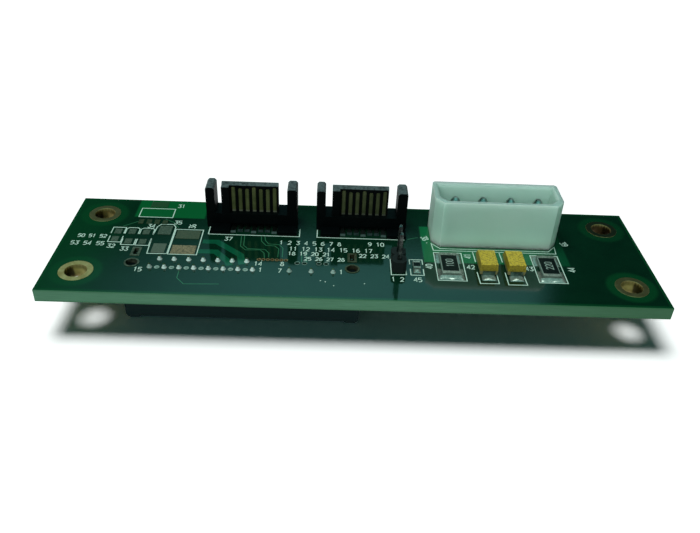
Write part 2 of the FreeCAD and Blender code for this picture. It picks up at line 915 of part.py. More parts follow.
large_resistors = [
    chip_resistor(
        x, large_resistor_y, large_resistor_length, large_resistor_width, large_resistor_height,
        (large_resistor_coat_width, large_resistor_coat_length), large_resistor_cap_length,
        (large_resistor_pad_width, large_resistor_pad_length), large_resistor_pad_reach,
    )
    for x in (large_resistor_x, large_resistor_x + large_resistor_spacing)
]
small_resistor = chip_resistor(
    small_resistor_x, small_resistor_y, small_resistor_length, small_resistor_width, small_resistor_height,
    (small_resistor_coat_width, small_resistor_coat_length), small_resistor_cap_length,
    (small_resistor_pad_width, small_resistor_pad_length), small_resistor_pad_reach,
)


def rectangle_wire(x, y, width, length, z):
    """A level rectangle as a closed wire."""
    corners = [(x + sx * width / 2, y + sy * length / 2) for sx, sy in ((-1, -1), (1, -1), (1, 1), (-1, 1))]
    return outline_wire(corners, z)


def tantalum_capacitor(x):
    """A moulded capacitor: a body that tapers both ways from its seam, and two folded terminals."""
    strip = capacitor_terminal_thickness
    y = capacitor_y
    low = pad_top + capacitor_lift
    seam = low + capacitor_seam_height
    top = low + capacitor_height
    body_length = capacitor_length - 2 * strip
    taper = 2 * capacitor_draft
    wide = rectangle_wire(x, y, capacitor_width, body_length, seam)
    foot = rectangle_wire(x, y, capacitor_width - taper, body_length - taper, low)
    crown = rectangle_wire(x, y, capacitor_width - taper, body_length - taper, top)
    lower_half = Part.makeLoft([foot, wide], True, True)
    upper_half = Part.makeLoft([wide, crown], True, True)
    body = lower_half.fuse(upper_half).removeSplitter()
    back = y + body_length / 2
    bevel_section = [(back - capacitor_bevel, top), (back, top), (back, top - capacitor_bevel_drop)]
    body = body.cut(prism_along_x(bevel_section, x - capacitor_width, x + capacitor_width))
    terminals = []
    fillets = []
    for side in (-1, 1):
        end = y + side * body_length / 2
        path = [
            (end - side * capacitor_terminal_root, seam - strip / 2),
            (end + side * strip / 2, seam - strip / 2),
            (end + side * strip / 2, pad_top + strip / 2),
            (end - side * capacitor_terminal_foot, pad_top + strip / 2),
        ]
        outline = strip_outline(path, strip)
        half = capacitor_terminal_width / 2
        terminal = prism_along_x(outline, x - half, x + half)
        terminals.append(terminal)
        outer = end + side * strip
        toe = end + side * capacitor_pad_reach
        heel = toe - side * capacitor_pad_length
        section = [
            (heel, board_top),
            (toe, board_top),
            (toe, pad_top),
            (outer + side * capacitor_fillet_foot, pad_top + capacitor_fillet_shoulder),
            (outer, pad_top + capacitor_fillet_climb),
            (outer, pad_top),
            (heel, pad_top),
        ]
        fillets.append(prism_along_x(section, x - capacitor_pad_width / 2, x + capacitor_pad_width / 2))
    return body.cut(terminals), terminals, fillets


capacitors = [tantalum_capacitor(capacitor_x + index * capacitor_spacing) for index in range(capacitor_count)]

# Bare pads of the empty positions
regulator_pads = [
    tinned_pad(x, regulator_lead_y, regulator_lead_pad_width, regulator_lead_pad_length)
    for x in row(regulator_lead_count, regulator_lead_pitch, regulator_x)
]
regulator_pads.append(tinned_pad(regulator_x, regulator_tab_y, regulator_tab_width, regulator_tab_length))
chip_pads = []
for index in range(chip_pads_count):
    pad_x = chip_pads_x + index * chip_pads_pitch
    pad_spacing = short_chip_pad_spacing if index == 0 else long_chip_pad_spacing
    for pad_y in (chip_pads_y, chip_pads_y - pad_spacing):
        chip_pads.append(tinned_pad(pad_x, pad_y, chip_pad_width, chip_pad_length))
spare_capacitor_pads = [
    tinned_pad(spare_capacitor_x, y, spare_capacitor_pad_width, spare_capacitor_pad_length)
    for y in row(2, spare_capacitor_pad_spacing, spare_capacitor_y)
]
choke_pads = [
    tinned_pad(choke_x, y, choke_pad_width, choke_pad_length) for y in row(2, choke_pad_spacing, choke_y)
]

# The board itself, drilled for every hole above
board = block(
    -board_length / 2, board_length / 2, -board_depth / 2, board_depth / 2, board_bottom, board_top
).cut(board_holes)

save("circuit_board", [board])
save("mounting_hole_linings", mounting_linings)
save("peg_hole_linings", peg_linings)
save("lock_slot_linings", lock_linings)
save("regulator_pads", regulator_pads)
save("chip_pads", chip_pads)
save("spare_capacitor_pads", spare_capacitor_pads)
save("choke_pads", choke_pads)
save("drive_receptacle_housing", [receptacle_housing])
save("drive_power_contacts", power_contacts)
save("drive_signal_contacts", signal_contacts)
save("drive_second_port_contacts", second_port_contacts)
save("drive_board_locks", board_locks)
save("drive_power_solder", power_joints)
save("drive_signal_solder", signal_joints)
save("drive_second_port_rings", second_port_joints)
for number, (housing, contacts, joints) in enumerate(data_headers, start=1):
    save("data_header_%d_housing" % number, [housing])
    save("data_header_%d_contacts" % number, contacts)
    save("data_header_%d_solder" % number, joints)
save("power_header_housing", [power_header_housing()])
save("power_header_pins", power_pins)
save("power_header_solder", power_joints_below)
save("lamp_header_base", [lamp_base()])
save("lamp_header_pins", lamp_pins)
save("lamp_header_solder", lamp_joints)
save("large_resistor_cores", [resistor[0] for resistor in large_resistors])
save("large_resistor_coats", [resistor[1] for resistor in large_resistors])
save("large_resistor_caps", [cap for resistor in large_resistors for cap in resistor[2]])
save("large_resistor_solder", [fillet for resistor in large_resistors for fillet in resistor[3]])
save("small_resistor_core", [small_resistor[0]])
save("small_resistor_coat", [small_resistor[1]])
save("small_resistor_caps", small_resistor[2])
save("small_resistor_solder", small_resistor[3])
save("capacitor_bodies", [capacitor[0] for capacitor in capacitors])
save("capacitor_terminals", [terminal for capacitor in capacitors for terminal in capacitor[1]])
save("capacitor_solder", [fillet for capacitor in capacitors for fillet in capacitor[2]])
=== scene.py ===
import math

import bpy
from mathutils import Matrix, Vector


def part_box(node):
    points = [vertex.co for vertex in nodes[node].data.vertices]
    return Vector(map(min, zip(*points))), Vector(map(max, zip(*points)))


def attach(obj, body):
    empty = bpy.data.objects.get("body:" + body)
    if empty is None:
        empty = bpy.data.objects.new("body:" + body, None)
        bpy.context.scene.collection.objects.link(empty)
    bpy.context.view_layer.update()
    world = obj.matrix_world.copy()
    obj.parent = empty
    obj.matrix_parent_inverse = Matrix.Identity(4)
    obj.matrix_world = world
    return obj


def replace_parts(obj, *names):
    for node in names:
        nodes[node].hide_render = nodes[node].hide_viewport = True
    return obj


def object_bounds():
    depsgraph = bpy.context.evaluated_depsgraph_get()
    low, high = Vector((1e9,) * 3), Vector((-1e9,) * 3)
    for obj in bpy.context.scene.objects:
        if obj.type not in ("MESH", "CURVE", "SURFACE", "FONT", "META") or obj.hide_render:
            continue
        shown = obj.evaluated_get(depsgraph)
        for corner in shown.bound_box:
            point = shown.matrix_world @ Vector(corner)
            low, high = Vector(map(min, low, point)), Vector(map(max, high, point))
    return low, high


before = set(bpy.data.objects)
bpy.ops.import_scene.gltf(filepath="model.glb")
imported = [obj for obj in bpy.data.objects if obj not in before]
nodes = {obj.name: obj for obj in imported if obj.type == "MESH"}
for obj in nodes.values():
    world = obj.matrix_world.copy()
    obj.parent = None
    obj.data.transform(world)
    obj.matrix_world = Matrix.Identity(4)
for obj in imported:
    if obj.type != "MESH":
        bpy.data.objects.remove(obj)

# %% [markdown]
# A drive adapter card, dressed for its portrait
#
# The solids of the card are already loaded and stay where they are. This lesson gives every one of
# them a finish, then adds what is too thin or too fine for a solid: printed ink, copper runs under
# the green coat, and solder that has flowed and frozen. Blender works in metres; the places below are
# millimetres in the card's own frame, with X along the board, Y from its front edge to its back edge,
# and +Z up.

mm = 0.001
cad_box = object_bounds()


def span(name):
    """The lowest and the highest corner of a solid, in millimetres."""
    low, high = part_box(name)
    return [value / mm for value in low], [value / mm for value in high]


board_low, board_high = span("circuit_board")
half_length, half_depth, top_z = board_high
under_z = board_low[2]
card_size = [round((high - low) / mm, 2) for low, high in zip(*cad_box)]
print("card", card_size, "mm, board from", round(under_z, 2), "up to", round(top_z, 2))

# %% [markdown]
# A small language for finishes
#
# A finish is a graph of nodes, and a graph is easier to read as arithmetic. Wire wraps one socket, so
# that `1 - mask` or `height * 3` adds the Math nodes by itself. Graph holds a node tree and has one
# method, add, for every kind of node: its settings go in first, then its sockets. We could wire the
# same nodes by hand in the editor, but then nothing could be looped or reused.

# %% Wire
class Wire:
    """One socket that can be used in arithmetic."""

    def __init__(self, graph, socket):
        self.graph = graph
        self.socket = socket

    def __add__(self, other):
        return self.graph.math("ADD", self, other)

    def __sub__(self, other):
        return self.graph.math("SUBTRACT", self, other)

    def __rsub__(self, other):
        return self.graph.math("SUBTRACT", other, self)

    def __mul__(self, other):
        return self.graph.math("MULTIPLY", self, other)

    def __truediv__(self, other):
        return self.graph.math("DIVIDE", self, other)

    def __rtruediv__(self, other):
        return self.graph.math("DIVIDE", other, self)

    def __pow__(self, other):
        return self.graph.math("POWER", self, other)

    def __rpow__(self, other):
        return self.graph.math("POWER", other, self)

    def __abs__(self):
        return self.graph.math("ABSOLUTE", self)

    __radd__ = __add__
    __rmul__ = __mul__


print("a wire takes + - * / ** and abs")

# %% Graph
class Graph:
    """A node tree that nodes are added to by name."""

    def __init__(self, tree):
        self.tree = tree

    def feed(self, socket, value):
        """Link a wire to a socket, or set the socket to a plain value."""
        if isinstance(value, Wire):
            self.tree.links.new(value.socket, socket)
        elif socket.type == "RGBA":
            socket.default_value = (*value, 1.0)
        else:
            socket.default_value = value

    def add(self, kind, settings=None, sockets=None, output=0):
        """Add a node of any kind and give back one of its outputs."""
        node = self.tree.nodes.new(kind)
        for name, value in (settings or {}).items():
            setattr(node, name, value)
        for name, value in (sockets or {}).items():
            self.feed(next(s for s in node.inputs if name in (s.identifier, s.name)), value)
        found = [s for s in node.outputs if output in (s.identifier, s.name)]
        return Wire(self, found[0] if found else node.outputs[output])

    def math(self, operation, *terms):
        """One step of arithmetic."""
        sockets = dict(zip(("Value", "Value_001"), terms))
        return self.add("ShaderNodeMath", {"operation": operation}, sockets)

    def smooth(self, value, low, high):
        """0 below low, 1 above high, eased in between."""
        return self.add("ShaderNodeMapRange", {"interpolation_type": "SMOOTHSTEP"},
                        {"Value": value, "From Min": low, "From Max": high})

    def blend(self, factor, first, second):
        """One colour going over into another."""
        return self.add("ShaderNodeMix", {"data_type": "RGBA"},
                        {"Factor_Float": factor, "A_Color": first, "B_Color": second}, "Result_Color")

    def split(self, vector):
        """The three parts of a vector."""
        parts = self.add("ShaderNodeSeparateXYZ", {}, {"Vector": vector}).socket.node.outputs
        return [Wire(self, part) for part in parts]


print("a graph adds any node by its type")

# %% Colours as they look on a screen
def tone(red, green, blue):
    """A colour as it looks on a screen, from 0 to 255, turned into the linear light that shaders use."""
    shares = [value / 255 for value in (red, green, blue)]
    return tuple(s / 12.92 if s <= 0.04045 else ((s + 0.055) / 1.055) ** 2.4 for s in shares)


print("middle grey is", round(tone(128, 128, 128)[0], 3), "in linear light")

# %% [markdown]
# A finish is a graph with one Principled shader. It knows the place on the card in millimetres, which
# way the surface faces, and how to make clouds, tints and fine relief. Unwrapping the pieces and
# painting images would work too, but what is worked out from the place needs no image and fits every
# piece at once.

# %% A finish and what it is measured with
class Finish(Graph):
    """A material with one Principled shader, mapped in the card's own millimetres."""

    def __init__(self, name, **fixed):
        self.material = bpy.data.materials.new(name)
        self.material.use_nodes = True
        super().__init__(self.material.node_tree)
        self.shader = self.tree.nodes["Principled BSDF"]
        self.set(**fixed)
        metres = self.add("ShaderNodeTexCoord", {}, {}, "Object")
        self.spot = self.add("ShaderNodeVectorMath", {"operation": "SCALE"},
                             {"Vector": metres, "Scale": 1 / mm})
        self.x, self.y, self.z = self.split(self.spot)

    def set(self, **sockets):
        """Set or link the shader's own sockets; Base_Color stands for Base Color."""
        for name, value in sockets.items():
            self.feed(self.shader.inputs[name.replace("_", " ")], value)

    def grain(self, scale, detail=3.0, rough=0.55, stretch=(1, 1, 1)):
        """Cloudy noise with about `scale` lumps in a millimetre."""
        place = self.add("ShaderNodeVectorMath", {"operation": "MULTIPLY"},
                         {"Vector": self.spot, "Vector_001": stretch})
        return self.add("ShaderNodeTexNoise", {},
                        {"Vector": place, "Scale": scale, "Detail": detail, "Roughness": rough}, "Fac")

    def mottled(self, scale, dull, bright, detail=3.0):
        """Clouds of one colour in another."""
        return self.blend(self.grain(scale, detail), dull, bright)

    def tint(self, where, colour):
        """Lay a colour over the finish where a mask says so."""
        under = Wire(self, self.shader.inputs["Base Color"].links[0].from_socket)
        self.set(Base_Color=self.blend(where, under, colour))

    def relief(self, height, strength, depth):
        """Lumps and hollows that only the light can see, `depth` millimetres deep."""
        self.set(Normal=self.add("ShaderNodeBump", {},
                                 {"Height": height, "Strength": strength, "Distance": depth * mm}))

    def facing(self):
        """The three parts of the surface's own direction."""
        return self.split(self.add("ShaderNodeNewGeometry", {}, {}, "Normal"))


print("a finish counts in steps of", mm, "m")

# %% Putting a finish on
def wear(finish, *node_names):
    """Give these solids a finish."""
    for name in node_names:
        slots = nodes[name].data.materials
        slots.clear()
        slots.append(finish.material)
    print(finish.material.name, "on", ", ".join(node_names))


print("finishes for", len(nodes), "solids")

# %% [markdown]
# The camera
#
# The portrait was taken from the front and above, a hand's length away, with the camera rolled a
# little to one side. A level camera aimed by eye would miss the slant of the front edge, so the place,
# the tilt and the roll below were worked out from corners of the board and the headers.

# %% Place, tilt, turn and roll of the camera
camera_place = Vector((-4.86, -112.55, 83.84)) * mm
camera_tilt, camera_turn, camera_roll = (math.radians(angle) for angle in (34.69, -1.99, 2.89))
picture_width, focal_pixels = 700, 737.3

level = Vector((math.cos(camera_turn), math.sin(camera_turn), 0))
ahead = Vector((-math.sin(camera_turn), math.cos(camera_turn), 0))
rise = ahead * math.sin(camera_tilt) + Vector((0, 0, math.cos(camera_tilt)))
sight = ahead * math.cos(camera_tilt) - Vector((0, 0, math.sin(camera_tilt)))
right = level * math.cos(camera_roll) + rise * math.sin(camera_roll)
up = rise * math.cos(camera_roll) - level * math.sin(camera_roll)


def add_object(name, data):
    """A new object in the scene."""
    made = bpy.data.objects.new(name, data)
    bpy.context.scene.collection.objects.link(made)
    return made


camera = add_object("camera", bpy.data.cameras.new("camera"))
camera.data.sensor_fit = "HORIZONTAL"
camera.data.sensor_width = 36
camera.data.lens = focal_pixels * camera.data.sensor_width / picture_width
camera.data.clip_start = 1 * mm
camera.matrix_world = Matrix.Translation(camera_place) @ Matrix((right, up, -sight)).transposed().to_4x4()
bpy.context.scene.camera = camera
bpy.context.scene.view_settings.view_transform = "Standard"
print("lens", round(camera.data.lens, 2), "mm")

# %% [markdown]
# Lamps
#
# The card lies under a soft ceiling panel, so its shadow shows as a dark strip below the front edge,
# with bright spots where light drops through the mounting holes. One parallel lamp with a wide disc
# makes that shadow and lights the floor evenly. A weaker one from the front opens up the upright faces,
# and one from below stands for the light that a white table throws back; these two light the card
# alone. None is mirrored, because a round image of a lamp on the lacquer would look like a stain.

# %% Three parallel lamps
card_only = bpy.data.collections.new("card_only")
for node in nodes.values():
    card_only.objects.link(node)


def parallel_lamp(name, strength, colour, disc, towards):
    """A lamp whose light goes one way; a wide disc, in degrees, makes its shadows soft."""
    lamp = add_object(name, bpy.data.lights.new(name, "SUN"))
    lamp.data.energy = strength
    lamp.data.color = colour
    lamp.data.angle = math.radians(disc)
    lamp.rotation_mode = "QUATERNION"
    lamp.rotation_quaternion = Vector(towards).to_track_quat("-Z", "Y")
    return lamp


ceiling_panel = parallel_lamp("ceiling_panel", strength=2.35, colour=(0.97, 1.0, 0.99), disc=29,
                              towards=(0.22, -0.03, -1))
front_fill = parallel_lamp("front_fill", strength=1.6, colour=(0.88, 1.0, 0.97), disc=30,
                           towards=(0.35, 1, -0.6))
table_bounce = parallel_lamp("table_bounce", strength=0.9, colour=(0.95, 1.0, 0.98), disc=60,
                             towards=(0.05, 0.06, 1))
table_bounce.light_linking.blocker_collection = card_only
for lamp in (front_fill, table_bounce):
    lamp.light_linking.receiver_collection = card_only
for lamp in (ceiling_panel, front_fill, table_bounce):
    lamp.visible_glossy = False
    print(lamp.name, "at", round(lamp.data.energy, 2))

# %% [markdown]
# Floor
#
# The floor is a sheet of white paper. Its colour, and not more light, makes it plain white to the
# camera where no shadow falls. From below it is clear, so that the underside of the card can be looked
# at as well.

# %% White paper
floor_half, floor_drop = 3.0, 0.02 * mm
corners = [(-1, -1), (1, -1), (1, 1), (-1, 1)]
floor_mesh = bpy.data.meshes.new("floor")
floor_mesh.from_pydata([(x * floor_half, y * floor_half, -floor_drop) for x, y in corners], [],
                       [(0, 1, 2, 3)])
floor = add_object("floor", floor_mesh)

paper = Finish("white_paper")
own_white = paper.mottled(0.02, (0.93, 0.94, 0.94), (0.95, 0.95, 0.95))
camera_white = (1.5, 1.5, 1.5)
to_camera = paper.add("ShaderNodeLightPath", {}, {}, "Is Camera Ray")
matt = paper.add("ShaderNodeBsdfDiffuse", {}, {"Color": paper.blend(to_camera, own_white, camera_white)})
clear = paper.add("ShaderNodeBsdfTransparent")
from_below = paper.add("ShaderNodeNewGeometry", {}, {}, "Backfacing")
one_way = paper.add("ShaderNodeMixShader", {}, {"Fac": from_below, "Shader": matt, "Shader_001": clear})
paper.feed(paper.tree.nodes["Material Output"].inputs["Surface"], one_way)
floor_mesh.materials.append(paper.material)
print("floor", 2 * floor_half, "m across")

# %% [markdown]
# Sky
#
# The sky is plain white to the camera. Shiny things see a studio instead: a bright ceiling, a front
# wall, and a low glow at the back that fades to the left and ends at an edge on the right. That glow
# is the pale sheen along the front of the board; where it ends, the green coat stays dark. A sky image
# would do the same, but a few eased steps in height and direction are easier to steer.

# %% Studio that shiny things see
sky = bpy.data.worlds.new("studio")
sky.use_nodes = True
bpy.context.scene.world = sky
studio = Graph(sky.node_tree)
across, depth, height = studio.split(studio.add("ShaderNodeTexCoord", {}, {}, "Generated"))
camera_ray, glossy_ray, clear_ray = (
    studio.add("ShaderNodeLightPath", {}, {}, ray)
    for ray in ("Is Camera Ray", "Is Glossy Ray", "Is Transmission Ray"))
slant = across / studio.math("MAXIMUM", depth, 0.1) + 0.05
left_fade = 1 - studio.smooth(slant * -1, 0.0, 0.55)
right_end = (1 - studio.smooth(slant, 0.0, 1.0) * 0.4) * (1 - studio.smooth(slant, 0.39, 0.45))
low_glow = studio.smooth(height, 0.515, 0.585) * left_fade * right_end * 0.9
ceiling = studio.smooth(height, 0.68, 0.85) * 0.8
in_front = 1 - studio.smooth(depth, -0.5, 0.0)
front_wall = in_front * (studio.smooth(height, 0.3, 0.5) * 0.75 + 0.1)
mirrored = 0.01
for light in (low_glow, ceiling, front_wall):
    mirrored = studio.math("MAXIMUM", mirrored, light)

dim_fill, cool_light, plain_white = 0.035, (0.32, 0.96, 0.95), (1, 1, 1)
shiny = studio.math("MAXIMUM", glossy_ray, clear_ray)
seen = shiny * mirrored + (1 - shiny) * dim_fill
backdrop = sky.node_tree.nodes["Background"]
studio.feed(backdrop.inputs["Color"], studio.blend(camera_ray, cool_light, plain_white))
studio.feed(backdrop.inputs["Strength"], camera_ray + (1 - camera_ray) * seen)
print("sky with", len(sky.node_tree.nodes), "nodes")

# %% [markdown]
# The green coat of the board
#
# A circuit board is glass cloth in resin with copper foil on it, under a glossy green lacquer. Over
# copper the lacquer looks almost black-green; where the foil is etched away the pale board shines
# through and it looks bright green. We could model the foil, but it is thinner than a hair, so the
# finish reads the place on the board and picks the colour.

# %% Where the foil ends
coat = Finish("green_coat", IOR=1.5)
flat = (0.85, 0.97)
edge_margin, ring_radius, halo_inner, halo_outer = 0.55, 2.92, 3.9, 4.8


def inside(finish, left, right, front, back, soft=0.12):
    """1 inside a rectangle of the board, with a soft rim."""
    def between(place, low, high):
        past_low = finish.smooth(place, low - soft, low + soft)
        return past_low * (1 - finish.smooth(place, high - soft, high + soft))
    return between(finish.x, left, right) * between(finish.y, front, back)


upward = coat.facing()[2]
on_face = coat.smooth(abs(upward), *flat)
on_top = coat.smooth(upward, *flat)
hole_x, hole_y = (value - ring_radius for value in span("mounting_hole_linings")[1][:2])
from_hole = ((abs(coat.x) - hole_x) ** 2 + (abs(coat.y) - hole_y) ** 2) ** 0.5
# Painted shade: the halos round the holes are dimmer towards the right and the back.
halo_shade = coat.smooth(coat.x, 0.0, 40.0) * coat.smooth(coat.y, -8.0, 8.0) * 0.4
halo = (1 - coat.smooth(from_hole, halo_inner, halo_outer)) * (1 - halo_shade)
margin = 1 - inside(coat, edge_margin - half_length, half_length - edge_margin,
                    edge_margin - half_depth, half_depth - edge_margin, 0.06)
bare_left = inside(coat, -42.2, -28.9, 8.8, half_depth, 0.25)
# Painted shade: the bare patch beside the power header darkens towards the right.
bare_right_shade = 1 - coat.smooth(coat.x, 30.0, 38.0) * 0.65
bare_right = inside(coat, 12.2, 38.65, -3.6, 8.5, 0.2) * bare_right_shade
etched = coat.math("MAXIMUM", bare_left * 0.8, bare_right) * on_top
print("mounting holes at", round(hole_x, 2), "and", round(hole_y, 2), "from the middle")

# %% Colour and gloss of the lacquer
foil = coat.mottled(0.25, tone(2, 26, 16), tone(5, 40, 24), 4)
# Painted glow: the lacquer over copper turns lighter green towards the left end.
left_glow = 1 - coat.smooth(coat.x, -52.0, -38.0)
foil = coat.blend(left_glow * 0.45, foil, tone(8, 66, 34))
lacquer = coat.blend(coat.math("MAXIMUM", halo, margin) * 0.7, foil, tone(6, 60, 30))
bare_green = coat.blend(coat.smooth(coat.x, 0.0, 20.0), tone(6, 90, 44), tone(10, 88, 52))
lacquer = coat.blend(etched, lacquer, bare_green)


def gloss(finish):
    """How rough the lacquer is, which is hardly at all."""
    return finish.grain(0.8) * 0.04 + 0.07


print("lacquer takes", len(coat.tree.nodes), "nodes so far")

# %% [markdown]
# The same finish turns to bare laminate on the sawn edges: layers of cloth with a darker skin above and
# below. A second material on those faces would need the mesh to be changed, so a mask does it.

# %% Sawn edge
edge_rough = 0.6
cloth = coat.grain(1.0, 4, stretch=(0.25, 0.25, 5))
laminate = coat.blend(cloth, tone(47, 94, 67), tone(80, 130, 101))
skin = coat.smooth(abs(coat.z - (under_z + top_z) / 2), 0.75, 1.15)
laminate = coat.blend(skin * 0.7, laminate, tone(30, 84, 50))
# Painted shade: the sawn edge darkens towards the right end.
laminate = coat.blend(coat.smooth(coat.x, 5.0, 50.0) * 0.65, laminate, tone(24, 76, 38))
coat.set(Base_Color=coat.blend(on_face, laminate, lacquer),
         Roughness=on_face * (gloss(coat) - edge_rough) + edge_rough)
coat.relief(coat.grain(1.4, 2) * on_face * 0.4 + cloth * (1 - on_face), 0.35, 0.02)
wear(coat, "circuit_board")

# %% [markdown]
# Metal finishes
#
# The mounting rings are a dull gold. Painted shade darkens them towards the back and the right end,
# and on the outer side of each bore. Each metal below has its own colour, cloudiness and roughness;
# a painted grey would never pick up the light of the studio. Purity is how much of it shines as metal:
# tarnish and flux leave less. Tints lay tarnish and shade over it by place.

# %% A metal, and the gold of the mounting rings
def metal(name, dull, bright, rough, lumps, depth=0.01, purity=1.0):
    """A cloudy metal with about `lumps` clouds in a millimetre."""
    finish = Finish(name, Metallic=purity)
    cloud = finish.smooth(finish.grain(lumps, 4), 0.3, 0.7)
    finish.set(Base_Color=finish.blend(cloud, dull, bright),
               Roughness=finish.grain(lumps * 1.7, 2) * 0.25 + (rough - 0.12))
    finish.relief(finish.grain(lumps * 2.5, 3), 0.5, depth)
    return finish


ring_gold = metal("ring_gold", tone(206, 176, 112), tone(236, 208, 144), rough=0.4, lumps=0.7, purity=0.8)
wall_x, _, ring_up = ring_gold.facing()
on_ring = ring_gold.smooth(ring_up, *flat)
in_bore = 1 - ring_gold.smooth(abs(ring_up), 0.1, 0.3)
# Painted shade: ring tops and bores darken towards the right and the back; bores are a darker olive inside
# and darkest on their outer side.
ring_shade_right = ring_gold.smooth(ring_gold.x, -48.0, 20.0)
ring_shade_back = ring_gold.smooth(ring_gold.y, -8.0, 8.0)
bore_shadow_side = ring_gold.smooth(wall_x * ring_gold.math("SIGN", ring_gold.x) * -1, 0.4, 0.6)
ring_gold.tint(on_ring * ring_shade_back * 0.8, tone(52, 56, 38))
ring_gold.tint(on_ring * ring_shade_right * (0.82 + ring_shade_back * 0.1), tone(20, 32, 16))
ring_gold.tint(in_bore * 0.7, tone(100, 112, 46))
ring_gold.tint(in_bore * ring_shade_back * 0.4, tone(96, 66, 40))
ring_gold.tint(in_bore * ring_shade_back * ring_shade_right * 0.75, tone(70, 46, 34))
ring_gold.tint(in_bore * bore_shadow_side * 0.85, tone(34, 26, 8))
wear(ring_gold, "mounting_hole_linings")

# %% [markdown]
# The bare pads of the empty positions were levelled with hot air and have gone cloudy, and some have
# browned; front and back pads differ by painted sheen and painted shade. The collars of the peg holes and
# slots are the same tin with more shine. The small rings of the second port show copper round bores
# painted dark, as shade.

# %% Tinned pads, collars and copper rings
pad_tin = metal("pad_tin", tone(50, 68, 54), tone(88, 102, 88), rough=0.55, lumps=3.4, purity=0.35)
# Painted sheen: the front half of the spare pads is lighter, as reflected light.
painted_spare_sheen = (1 - pad_tin.smooth(pad_tin.y, 0.0, 0.5)) * pad_tin.smooth(pad_tin.x, -37.6, -37.2)
pad_tin.tint(painted_spare_sheen * 0.5, tone(98, 110, 96))
wear(pad_tin, "chip_pads", "spare_capacitor_pads")

choke_tin = metal("choke_tin", tone(90, 88, 68), tone(150, 138, 108), rough=0.55, lumps=3.4, purity=0.35)
# Painted shade: the back pad is darker and greener than the front one.
choke_tin.tint(choke_tin.smooth(choke_tin.y, 0.0, 0.5) * 0.85, tone(54, 74, 58))
wear(choke_tin, "choke_pads")

brown_tin = metal("brown_tin", tone(28, 48, 30), tone(62, 68, 46), rough=0.6, lumps=1.6, purity=0.35)
brown_tin.tint(brown_tin.smooth(brown_tin.y, 10.5, 11.0) * 0.8, tone(30, 70, 38))
wear(brown_tin, "regulator_pads")

collar_tin = metal("collar_tin", tone(88, 94, 78), tone(132, 134, 114), rough=0.42, lumps=1.6, purity=0.8)
collar_tin.tint(collar_tin.smooth(collar_tin.x, -20.0, -5.0) * 0.65, tone(84, 72, 44))
wear(collar_tin, "peg_hole_linings", "lock_slot_linings")

ring_copper = metal("ring_copper", tone(110, 88, 58), tone(160, 130, 90), rough=0.4, lumps=1.6, purity=0.5)
# Painted shade: the bore below the board face is dark.
ring_copper.tint(1 - ring_copper.smooth(ring_copper.z, top_z - 0.1, top_z), tone(12, 26, 16))
wear(ring_copper, "drive_second_port_rings")

# %% [markdown]
# Solder is bright on the drive contacts and greyer on the chips. Under the data headers it is painted almost
# black, as shade where little light gets in, with painted glints on the three long toes. Bright solder is
# duller at the left end and on the signal side.

# %% Three kinds of solder
bright_solder = metal("bright_solder", tone(196, 218, 208), tone(228, 242, 236), rough=0.4, lumps=1.2,
                      depth=0.02, purity=0.3)
left_drops = 1 - bright_solder.smooth(bright_solder.x, -36.5, -32.5)
signal_side = bright_solder.smooth(bright_solder.x, -16.5, -13.5)
bright_solder.tint(left_drops * 0.6, tone(110, 140, 128))
bright_solder.tint(signal_side * 0.6, tone(112, 150, 134))
wear(bright_solder, "drive_power_solder", "drive_signal_solder")

grey_solder = metal("grey_solder", tone(104, 120, 110), tone(140, 154, 142), rough=0.24, lumps=1.2,
                    depth=0.014, purity=0.55)
wear(grey_solder, "power_header_solder", "lamp_header_solder", "large_resistor_solder",
     "small_resistor_solder", "capacitor_solder", "large_resistor_caps", "small_resistor_caps")

# Painted shade: this solder is almost black.
shaded_solder = metal("shaded_solder", tone(14, 18, 16), tone(40, 46, 44), rough=0.45, lumps=2.2,
                      depth=0.02, purity=0.5)
ground_toe = 4.55
# Painted glint: the toes of the three long ground contacts are lighter.
painted_toe_glint = 1 - shaded_solder.smooth(shaded_solder.y, ground_toe - 0.08, ground_toe)
shaded_solder.tint(painted_toe_glint, tone(62, 70, 66))
wear(shaded_solder, "data_header_1_solder", "data_header_2_solder")

# %% [markdown]
# The contacts are thin gold over nickel, which looks olive in this light. A paler band low on each contact,
# where it bends at the ledge, is a painted glint, and its foot is painted dark, as shade. The pins of the
# lamp header are tin that has gone dark; the power pins, which stand in milky nylon, are brighter.

# %% Pins and contacts
drive_gold = metal("drive_gold", tone(96, 92, 52), tone(140, 132, 84), rough=0.35, lumps=0.5, depth=0.004)
wear(drive_gold, "drive_power_contacts", "drive_signal_contacts", "drive_second_port_contacts")

data_gold = metal("data_gold", tone(78, 84, 48), tone(104, 108, 68), rough=0.4, lumps=0.5, depth=0.004,
                  purity=0.55)
# Painted glint: a paler band low on each contact, where it bends at the ledge.
data_gold.tint(1 - data_gold.smooth(data_gold.z, top_z + 3.1, top_z + 3.5), tone(124, 128, 108))
# Painted shade: the foot of each contact is near-black.
data_gold.tint(1 - data_gold.smooth(data_gold.z, top_z + 1.1, top_z + 1.5), tone(14, 16, 13))
data_gold.tint(data_gold.smooth(data_gold.x, -10.0, -8.0) * 0.35, tone(40, 46, 44))
wear(data_gold, "data_header_1_contacts", "data_header_2_contacts")

dark_pin = metal("dark_pin", tone(44, 46, 46), tone(120, 124, 120), rough=0.34, lumps=1.8)
wear(dark_pin, "lamp_header_pins")

pin_tin = metal("pin_tin", tone(110, 120, 112), tone(176, 184, 174), rough=0.3, lumps=1.0)
wear(pin_tin, "drive_board_locks", "capacitor_terminals", "power_header_pins")
